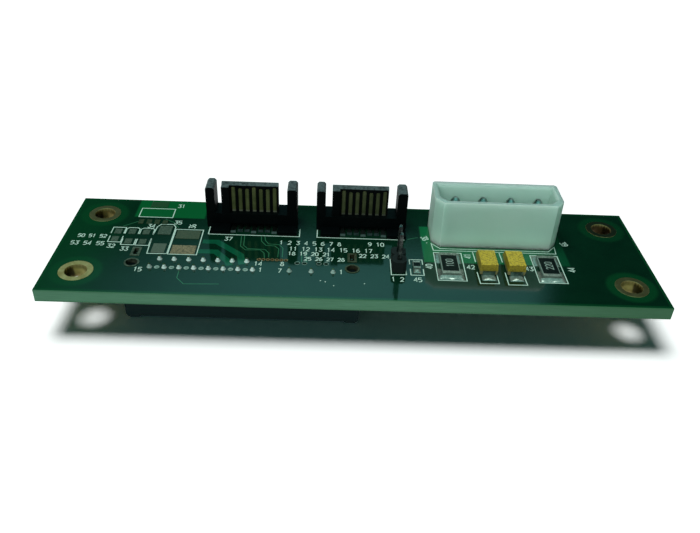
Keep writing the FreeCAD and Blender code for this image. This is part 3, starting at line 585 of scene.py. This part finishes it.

# %% [markdown]
# Black plastic
#
# The two data headers, the lamp header's base and the drive receptacle are black moulded polyester with
# a fine spark-eroded grain. Their high tops are painted a lighter grey in grainy patches, as light from
# above, and the receptacle under the board is painted a dark teal, as light. The height and the way the
# surface faces say where that painted light goes.

# %% Black plastic with painted light on the tops
plastic = Finish("black_plastic", Specular_IOR_Level=0.09)
moulded = plastic.mottled(0.5, tone(1, 2, 2), tone(4, 6, 7), 4)
# Painted light: the receptacle under the board is lifted to a dark teal.
painted_light_below_board = 1 - plastic.smooth(plastic.z, under_z - 0.1, under_z)
moulded = plastic.blend(painted_light_below_board, moulded, tone(24, 38, 38))
lamp_base = inside(plastic, 5.6, 9.2, -9.0, 0.5)
moulded = plastic.blend(lamp_base, moulded, tone(26, 32, 31))
# Painted light: high faces that look up are a lighter grey, in grainy patches.
painted_top_light = (plastic.smooth(plastic.z, top_z + 6.6, top_z + 7.4)
          * plastic.smooth(plastic.facing()[2], 0.25, 0.5)
          * plastic.smooth(plastic.grain(1.8, 4, 0.7), 0.2, 0.6))
plastic.set(Base_Color=plastic.blend(painted_top_light, moulded, tone(74, 88, 88)),
            Roughness=plastic.grain(1.5) * 0.2 + 0.36)
plastic.relief(plastic.grain(9, 2), 0.35, 0.01)
wear(plastic, "data_header_1_housing", "data_header_2_housing", "lamp_header_base",
     "drive_receptacle_housing")

# %% [markdown]
# Natural nylon
#
# The power header is unpigmented nylon: milky, a little translucent, and cool in this light. Light
# that wanders under the surface, called subsurface scattering, makes its walls glow softly; plain white
# paint would look like chalk.

# %% Milky nylon
nylon = Finish("natural_nylon", Subsurface_Weight=1.0, Subsurface_Scale=7 * mm,
               Subsurface_Radius=(0.8, 1.0, 0.95), Specular_IOR_Level=0.25)
nylon.set(Base_Color=nylon.mottled(0.12, tone(157, 193, 174), tone(167, 203, 186)),
          Roughness=nylon.grain(0.7) * 0.15 + 0.5)
nylon_right, _, nylon_up = nylon.facing()
painted_glow_near_board = 1 - nylon.smooth(nylon.z, top_z, top_z + 4.5)
# Painted shade: faces that look up, and faces turned to the right, are darker.
nylon.tint(nylon.smooth(nylon_up, 0.5, 0.9) * 0.8, tone(124, 160, 150))
nylon.tint(nylon.smooth(nylon_right, 0.3, 0.6) * 0.35, tone(110, 146, 130))
# Painted glow: the nylon is lighter and greener near the board.
nylon.tint(painted_glow_near_board * 0.55, tone(198, 232, 208))
nylon.relief(nylon.grain(4, 2), 0.25, 0.01)
wear(nylon, "power_header_housing")

# %% [markdown]
# Ceramic, glaze and epoxy
#
# The resistors are white ceramic with a black glaze on top; the ceramic is painted a dark grey, as shade.
# The capacitors are moulded yellow epoxy with dark specks, paler below the seam where the two halves of
# the mould met, and their upright faces are painted darker, as shade. An image could hold the specks, but
# noise needs none and never repeats.

# %% Ceramic and glaze
ceramic = Finish("white_ceramic")
# Painted shade: the white ceramic is given a dark grey-green colour.
ceramic.set(Base_Color=ceramic.mottled(2, tone(84, 104, 94), tone(116, 136, 126)),
            Roughness=ceramic.grain(5) * 0.2 + 0.5)
wear(ceramic, "large_resistor_cores", "small_resistor_core")

glaze = Finish("black_glaze", Specular_IOR_Level=0.2)
glaze.set(Base_Color=glaze.mottled(1.2, tone(2, 5, 4), tone(8, 12, 11)),
          Roughness=glaze.grain(3) * 0.2 + 0.45)
glaze.relief(glaze.grain(5), 0.3, 0.01)
wear(glaze, "large_resistor_coats", "small_resistor_coat")

# %% Yellow epoxy
epoxy = Finish("yellow_epoxy")
seam_height = span("capacitor_bodies")[0][2] + 0.85
speckle = epoxy.smooth(epoxy.grain(3.6, 4, 0.7), 0.44, 0.64)
resin = epoxy.blend(speckle, tone(176, 160, 50), tone(104, 92, 32))
# Painted shade: upright faces are darker.
painted_side_shade = 1 - epoxy.smooth(epoxy.facing()[2], 0.2, 0.7)
resin = epoxy.blend(painted_side_shade * 0.5, resin, tone(104, 88, 14))
below_seam = 1 - epoxy.smooth(epoxy.z, seam_height - 0.05, seam_height + 0.05)
epoxy.set(Base_Color=epoxy.blend(below_seam * 0.8, resin, tone(134, 128, 92)),
          Roughness=epoxy.grain(2) * 0.25 + 0.4)
epoxy.relief(epoxy.grain(6, 3), 0.4, 0.02)
wear(epoxy, "capacitor_bodies")

# %% [markdown]
# Rounded edges on the moulded pieces
#
# No moulded or bent piece has a perfectly sharp edge; the thin line of light along an edge is what makes
# it look real. The solids keep their shape, and a Bevel modifier rounds the edges by a fraction of a
# millimetre. Weld comes first, because the loaded faces don't share their corners.

# %% Soften edges
weld_reach, sharp_from = 0.0005, 35


def soften(width, *node_names, segments=2):
    """Round the sharp edges of these solids by a width in millimetres."""
    for name in node_names:
        solid = nodes[name]
        weld = solid.modifiers.new("weld", "WELD")
        weld.merge_threshold = weld_reach * mm
        bevel = solid.modifiers.new("bevel", "BEVEL")
        bevel.width = width * mm
        bevel.segments = segments
        bevel.limit_method = "ANGLE"
        bevel.angle_limit = math.radians(sharp_from)
        bevel.harden_normals = True
    print("softened by", width, "mm:", ", ".join(node_names))


soften(0.22, "power_header_housing", segments=3)
soften(0.09, "data_header_1_housing", "data_header_2_housing", "lamp_header_base")
soften(0.12, "capacitor_bodies", segments=3)
soften(0.03, "large_resistor_cores", "small_resistor_core")
soften(0.06, "circuit_board")
soften(0.03, "mounting_hole_linings")

# %% [markdown]
# Little meshes that add up to a piece
#
# Ink, copper runs and solder all come in dozens of small bits. A bit is a list of points in millimetres
# and a list of faces, and make_piece joins any number of them into one piece that rides with the card.
# Curve objects could draw the lines too, but a flat ribbon mitred at its corners is exactly what a
# printed line is.

# %% A piece
def make_piece(name, bits, finish, smooth=True):
    """Join bits into one piece that rides with the card."""
    points, faces = [], []
    for bit_points, bit_faces in bits:
        start = len(points)
        points += [Vector(point) * mm for point in bit_points]
        faces += [[start + index for index in face] for face in bit_faces]
    mesh = bpy.data.meshes.new(name)
    mesh.from_pydata(points, [], faces)
    mesh.polygons.foreach_set("use_smooth", [smooth] * len(faces))
    mesh.materials.append(finish.material)
    piece = add_object(name, mesh)
    card_only.objects.link(piece)
    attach(piece, "root")
    print(name, "of", len(bits), "bits,", len(faces), "faces")
    return piece


print("pieces will ride with", len(nodes), "solids")

# %% A ribbon
def ribbon(run, width, height, foot):
    """A flat bar along a run of points, mitred at its corners; a run that ends where it began is closed."""
    path = [Vector(point) for point in run]
    closed = path[0] == path[-1]
    path = path[:-1] if closed else path
    last = len(path) - 1
    points = []
    for index, here in enumerate(path):
        before = path[index - 1] if closed or index else None
        after = path[(index + 1) % len(path)] if closed or index < last else None
        inward = (here - before if before else after - here).normalized()
        outward = (after - here if after else here - before).normalized()
        along = (inward + outward).normalized()
        left = Vector((-along.y, along.x))
        reach = width / 2 / max(left.dot(Vector((-inward.y, inward.x))), 0.4)
        for side, level in ((1, height), (-1, height), (-1, foot), (1, foot)):
            points.append((*(here + left * reach * side), level))
    pairs = [(index, index + 1) for index in range(last)] + ([(last, 0)] if closed else [])
    faces = [(4 * a + edge, 4 * a + (edge + 1) % 4, 4 * b + (edge + 1) % 4, 4 * b + edge)
             for a, b in pairs for edge in range(4)]
    ends = [] if closed else [(3, 2, 1, 0), tuple(4 * last + corner for corner in range(4))]
    return points, faces + ends


print("a straight ribbon has", len(ribbon([(0, 0), (1, 0)], 0.2, 0.02, 0)[1]), "faces")

# %% [markdown]
# White ink
#
# The legend is screen printed in white epoxy: outlines that show the assembler where each piece goes, and
# numbers beside them. A type face would look too heavy, because real legends are drawn with one
# round pen, so the figures are strokes as well. Only plain numbers are printed here.

# %% Ink
def ink(name, dull, bright):
    """Printed ink, a little patchy where the screen let less of it through."""
    finish = Finish(name)
    finish.set(Base_Color=finish.mottled(2.5, dull, bright), Roughness=finish.grain(4) * 0.2 + 0.5)
    return finish


white_ink = ink("white_ink", tone(136, 176, 158), tone(200, 224, 212))
ink_depth = 0.02
ink_height = top_z + ink_depth
line_pen = 0.17
print("ink", ink_depth, "mm thick, in lines", line_pen, "mm wide")

# %% Figures as strokes
figure_pen, figure_step, figure_narrow = 0.16, 0.66, 0.8
figures = {
    "0": [(0, .2), (0, .8), (.2, 1), (.4, 1), (.6, .8), (.6, .2), (.4, 0), (.2, 0), (0, .2)],
    "1": [(.1, .8), (.3, 1), (.3, 0)],
    "2": [(0, .8), (.2, 1), (.4, 1), (.6, .8), (.55, .55), (0, 0), (.6, 0)],
    "3": [(0, 1), (.6, 1), (.3, .6), (.6, .4), (.6, .2), (.4, 0), (.2, 0), (0, .15)],
    "4": [(.45, 0), (.45, 1), (0, .3), (.6, .3)],
    "5": [(.6, 1), (.05, 1), (0, .55), (.4, .6), (.6, .4), (.6, .2), (.4, 0), (0, 0)],
    "6": [(.55, 1), (.2, .9), (0, .5), (0, .2), (.2, 0), (.4, 0), (.6, .2), (.6, .4), (.4, .55), (0, .4)],
    "7": [(0, 1), (.6, 1), (.2, 0)],
    "8": [(.3, .55), (.1, .7), (.1, .85), (.3, 1), (.5, .85), (.5, .7), (.3, .55), (.6, .35), (.6, .15),
          (.4, 0), (.2, 0), (0, .15), (0, .35), (.3, .55)],
    "9": [(.05, 0), (.4, .1), (.6, .5), (.6, .8), (.4, 1), (.2, 1), (0, .8), (0, .6), (.2, .45), (.6, .6)],
}


def number(text, x, y, size, turn=0.0, pen=figure_pen, height=ink_height):
    """The ribbons of a row of numbers, centred on a place and turned by some degrees."""
    spin = Matrix.Rotation(math.radians(turn), 2)
    bits = []
    for index, figure in enumerate(text):
        if figure in figures:
            middle = (index - (len(text) - 1) / 2) * figure_step
            stroke = [Vector(((px - 0.3) * figure_narrow + middle, py - 0.5)) * size
                      for px, py in figures[figure]]
            run = [Vector((x, y)) + spin @ point for point in stroke]
            bits.append(ribbon(run, pen, height, height - ink_depth))
    return bits


print(len(figures), "figures with a pen of", figure_pen, "mm")

# %% [markdown]
# Most outlines stop short at the pads, as brackets, because ink on a pad would spoil the solder. Each
# list below is one kind of position.

# %% Outlines of the empty positions
def frame_line(left, front, right, back):
    """The four sides of a rectangle."""
    return [(left, front), (right, front), (right, back), (left, back), (left, front)]


def chip_bracket(left, right, edge, shoulder, corner):
    """A bracket round one pad; its far corners are cut off."""
    turn = math.copysign(corner, shoulder - edge)
    return [(left, shoulder), (left, edge + turn), (left + corner, edge), (right - corner, edge),
            (right, edge + turn), (right, shoulder)]


regulator_and_choke = [frame_line(-41.4, 8.8, -35.0, 12.0), frame_line(-33.55, -3.6, -28.45, 4.7)]
chip_places = [
    (-45.1, -42.75, 4.78, 2.7, 0.05), (-45.0, -42.65, -0.2, 1.8, 0.05), (-42.55, -40.15, 4.78, 2.7, 0.4),
    (-42.5, -40.15, -1.0, 0.95, 0.05), (-39.9, -37.45, 4.75, 2.7, 0.4), (-39.9, -37.45, -1.05, 1.0, 0.05)]
small_chips = [chip_bracket(*place) for place in chip_places]
spare_capacitor = [
    [(-37.4, 2.65), (-37.15, 5.4), (-36.6, 6.3), (-34.3, 6.35), (-33.75, 5.45), (-33.7, -3.5)],
    [(-37.4, 1.25), (-37.2, -3.6), (-33.7, -3.5)]]
empty_positions = regulator_and_choke + small_chips + spare_capacitor
print(len(empty_positions), "outlines round empty positions")

# %% Outlines of the fitted pieces
def data_outline(left, right, front=3.45, back=6.05, mark=13.4):
    """A bracket in front of a data header, with a short mark at its last contact."""
    return [[(left, back), (left, front), (right, front), (right, back)],
            [(left + mark, front), (left + mark, front + 0.55)]]


resistors = [
    frame_line(14.15, -9.1, 19.18, -0.4), frame_line(31.9, -8.95, 36.9, -0.45),
    [(9.5, -4.5), (9.5, -3.0), (11.8, -3.0), (11.8, -4.5)],
    [(9.5, -5.9), (9.5, -7.8), (11.8, -7.8), (11.8, -5.9)]]
capacitors = [
    [(21.4, 0.2), (21.5, -3.1)], [(21.3, -6.3), (21.4, -9.7), (24.7, -9.6), (24.7, -6.9)],
    [(26.3, 0.1), (26.4, -3.0)], [(26.3, -6.2), (26.3, -9.85), (29.6, -9.8), (29.5, -7.0)]]
power_header = [
    [(14.0, 2.6), (14.2, 0.3), (36.9, 0.3), (37.1, 2.6), (35.6, 0.95), (15.5, 0.95), (14.0, 2.6)]]
lamp_header = [[(6.1, -3.0), (6.05, -7.9), (8.7, -7.75), (8.7, -3.0)]]
data_headers = data_outline(-27.39, -10.53) + data_outline(-7.25, 9.0)
outlines = empty_positions + resistors + capacitors + power_header + lamp_header + data_headers
outline_bits = [ribbon(run, line_pen, ink_height, top_z) for run in outlines]
make_piece("printed_outlines", outline_bits, white_ink, False)

# %% [markdown]
# The numbers count the contacts and the positions, and longer rows lie on the open parts of the board. A
# few stray dots of ink are turned like buttons on a lathe.

# %% Turned shapes
def turned(x, y, profile, ring=False, sides=20):
    """A shape turned about an upright axis from steps of radius and height; a ring closes on itself."""
    points = []
    for radius, height in profile:
        for index in range(sides):
            turn = 2 * math.pi * index / sides
            points.append((x + radius * math.cos(turn), y + radius * math.sin(turn), height))
    last = len(profile) - 1
    faces = [] if ring else [list(reversed(range(sides))), [last * sides + index for index in range(sides)]]
    for step in range(len(profile) if ring else last):
        low, high = step * sides, (step + 1) % len(profile) * sides
        for index in range(sides):
            after = (index + 1) % sides
            faces.append([low + index, low + after, high + after, high + index])
    return points, faces


ink_dot = [(0.12, top_z + 0.002), (0.12, ink_height), (0.06, ink_height + 0.01)]
dot_places = [(-6.25, -10.25), (-5.4, -10.55), (-3.96, -11.6), (1.3, -10.8), (13.2, 2.75), (-16.7, -4.7),
              (-38.05, 4.6)]
dots = [turned(x, y, ink_dot, sides=8) for x, y in dot_places]
print(len(dots), "dots of ink")

# %% Numbers
number_size = 1.15
beside_pieces = [
    ("15", -37.7, -8.5, 0), ("1", -16.75, -7.6, 0), ("14", -17.3, -5.75, 0), ("8", -13.1, -5.6, 0),
    ("7", -13.4, -7.7, 0), ("1", -2.7, -7.55, 0), ("31", -34.05, 13.2, 0), ("32", -44.05, -1.5, 0),
    ("33", -41.5, -2.3, 0), ("34", -38.3, 5.6, 0), ("35", -33.6, 7.1, 0), ("36", -30.7, 5.9, 90),
    ("37", -23.5, 2.0, 0), ("38", 12.95, 4.3, -70), ("39", 39.2, 3.75, -70), ("40", 12.95, -4.95, 90),
    ("41", 20.3, -1.3, 90), ("42", 20.4, -4.8, 0), ("43", 30.9, -4.8, 0), ("44", 38.6, -4.7, 90),
    ("1 2", 7.1, -9.2, 0), ("45", 10.6, -9.15, 0)]
counting_rows = [
    ("1 2 3 4 5 6 7 8", -8.4, 1.3, 1.15), ("9 10", 3.7, 1.6, 1.15),
    ("11 12 13 14 15 16 17", -4.6, -0.65, 1.15), ("18 19 20 21", -8.5, -2.2, 1.05),
    ("22 23 24", 3.25, -2.3, 1.05), ("25 26 27 28", -5.7, -3.75, 1.0),
    ("50 51 52", -48.2, 1.65, 1.0), ("53 54 55", -48.4, -0.8, 1.15)]
legend = [bit for text, x, y, turn in beside_pieces for bit in number(text, x, y, number_size, turn)]
legend += [bit for text, x, y, size in counting_rows for bit in number(text, x, y, size)]
make_piece("printed_numbers", legend + dots, white_ink, False)

# %% [markdown]
# The two large resistors carry their value as printed numbers that read from the side, drawn with the
# same strokes in a greyer ink.

# %% Values on the resistors
coat_low, coat_high = span("large_resistor_coats")
coat_wide = 2.84
value_size, value_pen, value_turn = 1.25, 0.15, 90
value_y = (coat_low[1] + coat_high[1]) / 2
value_height = coat_high[2] + ink_depth
value_places = [("100", coat_low[0] + coat_wide / 2), ("220", coat_high[0] - coat_wide / 2)]
grey_ink = ink("grey_ink", tone(100, 122, 112), tone(140, 162, 152))
values = [bit for text, x in value_places
          for bit in number(text, x, value_y, value_size, value_turn, value_pen, value_height)]
make_piece("resistor_values", values, grey_ink, False)

# %% [markdown]
# Copper runs under the lacquer
#
# Where foil lies under the lacquer next to bare laminate, its edges show as paler green lines. Two wide
# bands feed the power contacts, and pairs of thin runs carry each data signal. They are drawn as ribbons
# just above the board with the coat's own gloss, so the mirrored light runs on unbroken.

# %% Wide bands
def lacquered(name, dull, bright):
    """Lacquer over copper, with the gloss of the board."""
    finish = Finish(name, IOR=1.5)
    finish.set(Base_Color=finish.mottled(0.8, dull, bright), Roughness=gloss(finish))
    return finish


run_height = top_z + 0.01
band_width, run_width = 1.3, 0.15
band_green = lacquered("band_green", tone(6, 62, 42), tone(12, 84, 56))
band_runs = [[(-28.0, 0.84), (-25.4, 0.88), (-20.7, -3.2), (-20.1, -6.1)],
             [(-28.4, -2.4), (-25.2, -2.36), (-22.65, -5.3), (-22.2, -6.6)]]
bands = [ribbon(run, band_width, run_height, top_z) for run in band_runs]
make_piece("power_bands", bands, band_green, False)

# %% Thin runs
run_green = lacquered("run_green", tone(30, 84, 58), tone(48, 108, 76))
first_header_runs = [
    [(-21.21, 3.04), (-21.02, -0.28), (-20.0, -1.49), (-17.36, -1.34), (-16.58, -2.33), (-16.37, -3.89)],
    [(-20.64, 3.3), (-20.48, -0.02), (-19.67, -1.01), (-16.49, -1.18), (-15.7, -2.28), (-15.65, -3.63)],
    [(-17.55, 3.3), (-17.38, 1.58), (-16.49, 0.21), (-14.81, 0.08), (-14.05, -0.81), (-14.03, -3.54)],
    [(-16.91, 3.3), (-16.69, 1.86), (-16.02, 0.71), (-14.09, 0.59), (-13.3, -0.54), (-13.23, -3.49)]]
second_header_runs = [[(-9.9, -1.2), (-9.7, -4.8)], [(-9.0, -1.2), (-8.8, -4.8)]]
single_runs = [
    [(-30.6, -8.55), (-30.6, -10.66), (-29.2, -12.36), (-23.3, -12.1)],
    [(-43.5, 5.2), (-41.1, 7.1)], [(-36.2, 8.2), (-34.4, 7.1), (-33.2, 5.3)], [(9.64, 3.7), (11.65, 4.52)]]
runs = [ribbon(run, run_width, run_height, top_z)
        for run in first_header_runs + second_header_runs + single_runs]
make_piece("signal_runs", runs, run_green, False)

# %% [markdown]
# Solder joints of the drive receptacle
#
# Each tail comes up through its hole into a small drop of solder that swallows its tip. The solids are
# eight-sided; these turned ones keep their place and height and follow the curve of a wetted
# liquid. A metaball would melt neighbours together, and a lathe profile never does.

# %% Drops on the power and signal tails
pitch, signal_gap = 1.27, 6.35
power_tails, signal_tails = 15, 7
joint_low, joint_high = span("drive_power_solder")
joint_radius, joint_sides = 0.62, 8
joint_pad = joint_radius * math.cos(math.pi / joint_sides)
front_y, back_y = joint_low[1] + joint_pad, joint_high[1] - joint_pad
power_x = [joint_low[0] + joint_pad + index * pitch for index in range(power_tails)]
signal_x = [power_x[-1] + signal_gap + index * pitch for index in range(signal_tails)]
drop_steps = [(0.46, 0.0), (0.46, 0.03), (0.4, 0.1), (0.34, 0.22), (0.28, 0.38), (0.23, 0.52), (0.18, 0.62),
              (0.1, 0.67)]
drop = [(0.38, under_z), (0.4, top_z)] + [(radius, top_z + lift) for radius, lift in drop_steps]
power_drops = [turned(x, back_y if index % 2 else front_y, drop) for index, x in enumerate(power_x)]
signal_drops = [turned(x, front_y, drop) for index, x in enumerate(signal_x) if index % 3 == 0]
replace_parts(make_piece("power_joints", power_drops, bright_solder), "drive_power_solder")
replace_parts(make_piece("signal_joints", signal_drops, bright_solder), "drive_signal_solder")

# %% [markdown]
# Between the front drops lie flat tinned holes with no tail, and four of the signal tails stop inside the
# board, so their holes stay open with a thin plated rim. Painted shade darkens the finish down into each
# hole.

# %% Open rims and flat holes
hole_tin = metal("hole_tin", tone(118, 148, 134), tone(166, 190, 178), rough=0.36, lumps=2.0, purity=0.4)
# Painted shade: dark green down inside each hole.
hole_tin.tint(1 - hole_tin.smooth(hole_tin.z, top_z - 0.02, top_z + 0.065), tone(16, 52, 38))
rim = [(0.37, under_z), (0.4, under_z), (0.4, top_z), (0.48, top_z), (0.48, top_z + 0.03),
       (0.45, top_z + 0.06), (0.41, top_z + 0.05), (0.37, top_z)]
open_rims = [turned(x, back_y, rim, ring=True) for index, x in enumerate(signal_x) if index % 3]
make_piece("open_rims", open_rims, hole_tin)
hole_steps = [(0.48, 0.002), (0.48, 0.04), (0.42, 0.08), (0.3, 0.06), (0.16, 0.02)]
flat_hole = [(radius, top_z + lift) for radius, lift in hole_steps]
flat_holes = [turned(x, front_y, flat_hole) for index, x in enumerate(power_x) if index % 2]
make_piece("flat_holes", flat_holes, hole_tin)

# %% [markdown]
# Solder on the chip pads
#
# On a pad the solder lies almost flat, swells a little and climbs the end of the chip in a hollow curve. The
# solids have a straight slope there; a smooth lump over a small grid gives the soft highlights that
# real solder has. The places come from the boxes of the solids.

# %% A lump over a grid
def mound(columns, rows, foot):
    """A closed lump over a grid of places in X and rows of (y, heights), standing on a flat foot."""
    wide = len(columns)
    points = [(x, y, height) for y, heights in rows for x, height in zip(columns, heights)]
    faces = []
    for row in range(len(rows) - 1):
        for column in range(wide - 1):
            corner = row * wide + column
            faces.append([corner, corner + 1, corner + 1 + wide, corner + wide])
    rim = list(range(wide)) + [row * wide + wide - 1 for row in range(1, len(rows))]
    rim += [len(points) - 1 - column for column in range(1, wide)]
    rim += [row * wide for row in range(len(rows) - 2, 0, -1)]
    start = len(points)
    points += [(*points[index][:2], foot) for index in rim]
    for place, index in enumerate(rim):
        after = (place + 1) % len(rim)
        faces.append([index, start + place, start + after, rim[after]])
    faces.append([start + place for place in reversed(range(len(rim)))])
    return points, faces


grid, slope_steps = 13, 8
shares = [2 * index / (grid - 1) - 1 for index in range(grid)]
rounded = [1 - abs(share) ** 6 for share in shares]
print("lumps on a grid of", grid, "by", slope_steps + 3)

# %% Lumps under resistors and capacitors
rim_lift, film, wall_gap = 0.03, 0.05, 0.02


def slope(wall, toe, climb, swell, crests):
    """Rows of a lump from the chip's wall out to its toe."""
    crest = [math.sin(math.pi * crests * (share + 1) / 2) ** 2 for share in shares]
    rows = []
    for index in range(slope_steps + 1):
        way = index / slope_steps
        lift = film * min(1.0, 6 * (1 - way)) + climb * (1 - way) ** 2.5
        bulge = swell * math.sin(math.pi * way)
        heights = [top_z + rim_lift + lift * r + bulge * c for r, c in zip(rounded, crest)]
        rows.append((wall + (toe - wall) * way, heights))
    return rows


def pad_lumps(solder, terminals, pad_wide, pad_long, climb, swell, crests):
    """Lumps on the front and back pads of a row of two chips, or of one."""
    low, high = span(solder)
    wall_low, wall_high = span(terminals)
    film_row = [top_z + rim_lift + film * r for r in rounded]
    bits = []
    for middle in sorted({round(low[0] + pad_wide / 2, 3), round(high[0] - pad_wide / 2, 3)}):
        columns = [middle + share * pad_wide / 2 for share in shares]
        for toe, wall, inner in ((low[1], wall_low[1], pad_long), (high[1], wall_high[1], -pad_long)):
            heel = toe + inner
            step = math.copysign(wall_gap, toe - wall)
            rows = [(heel, film_row), (wall - step, film_row)] + slope(wall, toe, climb, swell, crests)
            bits.append(mound(columns, rows if toe > heel else rows[::-1], top_z))
    return bits


pad_sizes = [("large_resistor", "large_resistor_caps", 4.7, 3.3, 0.42, 0.1, 2),
             ("small_resistor", "small_resistor_caps", 1.3, 1.35, 0.34, 0.2, 1),
             ("capacitor", "capacitor_terminals", 2.5, 2.6, 0.24, 0.1, 1)]
for chip, terminals, *sizes in pad_sizes:
    lumps = pad_lumps(f"{chip}_solder", terminals, *sizes)
    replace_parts(make_piece(f"{chip}_lumps", lumps, grey_solder), f"{chip}_solder")

# %% [markdown]
# Contacts of the data headers
#
# Each tongue carries seven flat contacts, and three of them are longer, so that they touch first. The tips
# are rounded and the edges coined, which gives every contact a thin outline of light. The solids are
# plain strips; these blades keep their places and their bend, and add tip and edges.

# %% Blades with round tips
blade_half, blade_thick = 0.35, 0.24
tip_angles = (25, 45, 65, 90)
blade_section = ((-1, 0.35), (-0.72, 0), (0.72, 0), (1, 0.35), (1, 1), (-1, 1))


def blade(x, tip, toe, low, high):
    """One contact: down the tongue from a round tip, then forward along the board to its toe."""
    face, back, foot = high[1] - blade_thick, high[1], low[2]
    rows = []
    for angle in (math.radians(degrees) for degrees in tip_angles):
        level = tip - blade_half * (1 - math.cos(angle))
        rows.append((blade_half * math.sin(angle), (face, level), (back, level)))
    rows += [(blade_half, (face, foot + blade_thick), (back, foot)),
             (blade_half, (toe, foot + blade_thick), (toe, foot))]
    points = [(x + wide * side, front[0] + (rear[0] - front[0]) * way, front[1] + (rear[1] - front[1]) * way)
              for wide, front, rear in rows for side, way in blade_section]
    count = len(blade_section)
    faces = [list(range(count)), [len(points) - 1 - index for index in range(count)]]
    for start in range(0, len(points) - count, count):
        for corner in range(count):
            after = (corner + 1) % count
            faces.append([start + after, start + corner, start + count + corner, start + count + after])
    return points, faces


signal_tip_drop, signal_toe_back = 0.3, 0.4
for header in (1, 2):
    low, high = span(f"data_header_{header}_contacts")
    blades = []
    for index in range(signal_tails):
        short = 1 if index % 3 else 0
        blades.append(blade(low[0] + blade_half + index * pitch, high[2] - short * signal_tip_drop,
                            low[1] + short * signal_toe_back, low, high))
    piece = make_piece(f"data_blades_{header}", blades, data_gold, False)
    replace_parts(piece, f"data_header_{header}_contacts")

# %% [markdown]
# A glint on the solder
#
# Frozen solder is what sparkles on a card: each lump mirrors a window or a lamp as a small white patch. A
# bright patch in the sky would give that too, but the glossy board would mirror it as a grey veil in
# other views. So a small high lamp behind the card is linked to the solder and the pins alone.

# %% Lamp for solder and pins
shiny_only = bpy.data.collections.new("shiny_only")
for name in ("power_joints", "signal_joints", "large_resistor_lumps", "small_resistor_lumps",
             "capacitor_lumps"):
    shiny_only.objects.link(bpy.data.objects[name])
for name in ("large_resistor_caps", "small_resistor_caps", "capacitor_terminals", "power_header_pins",
             "lamp_header_pins"):
    shiny_only.objects.link(nodes[name])
glint_panel = parallel_lamp("glint_panel", strength=0.7, colour=(1.0, 1.0, 1.0), disc=18,
                            towards=(-0.15, -0.5, -0.85))
glint_panel.light_linking.receiver_collection = shiny_only
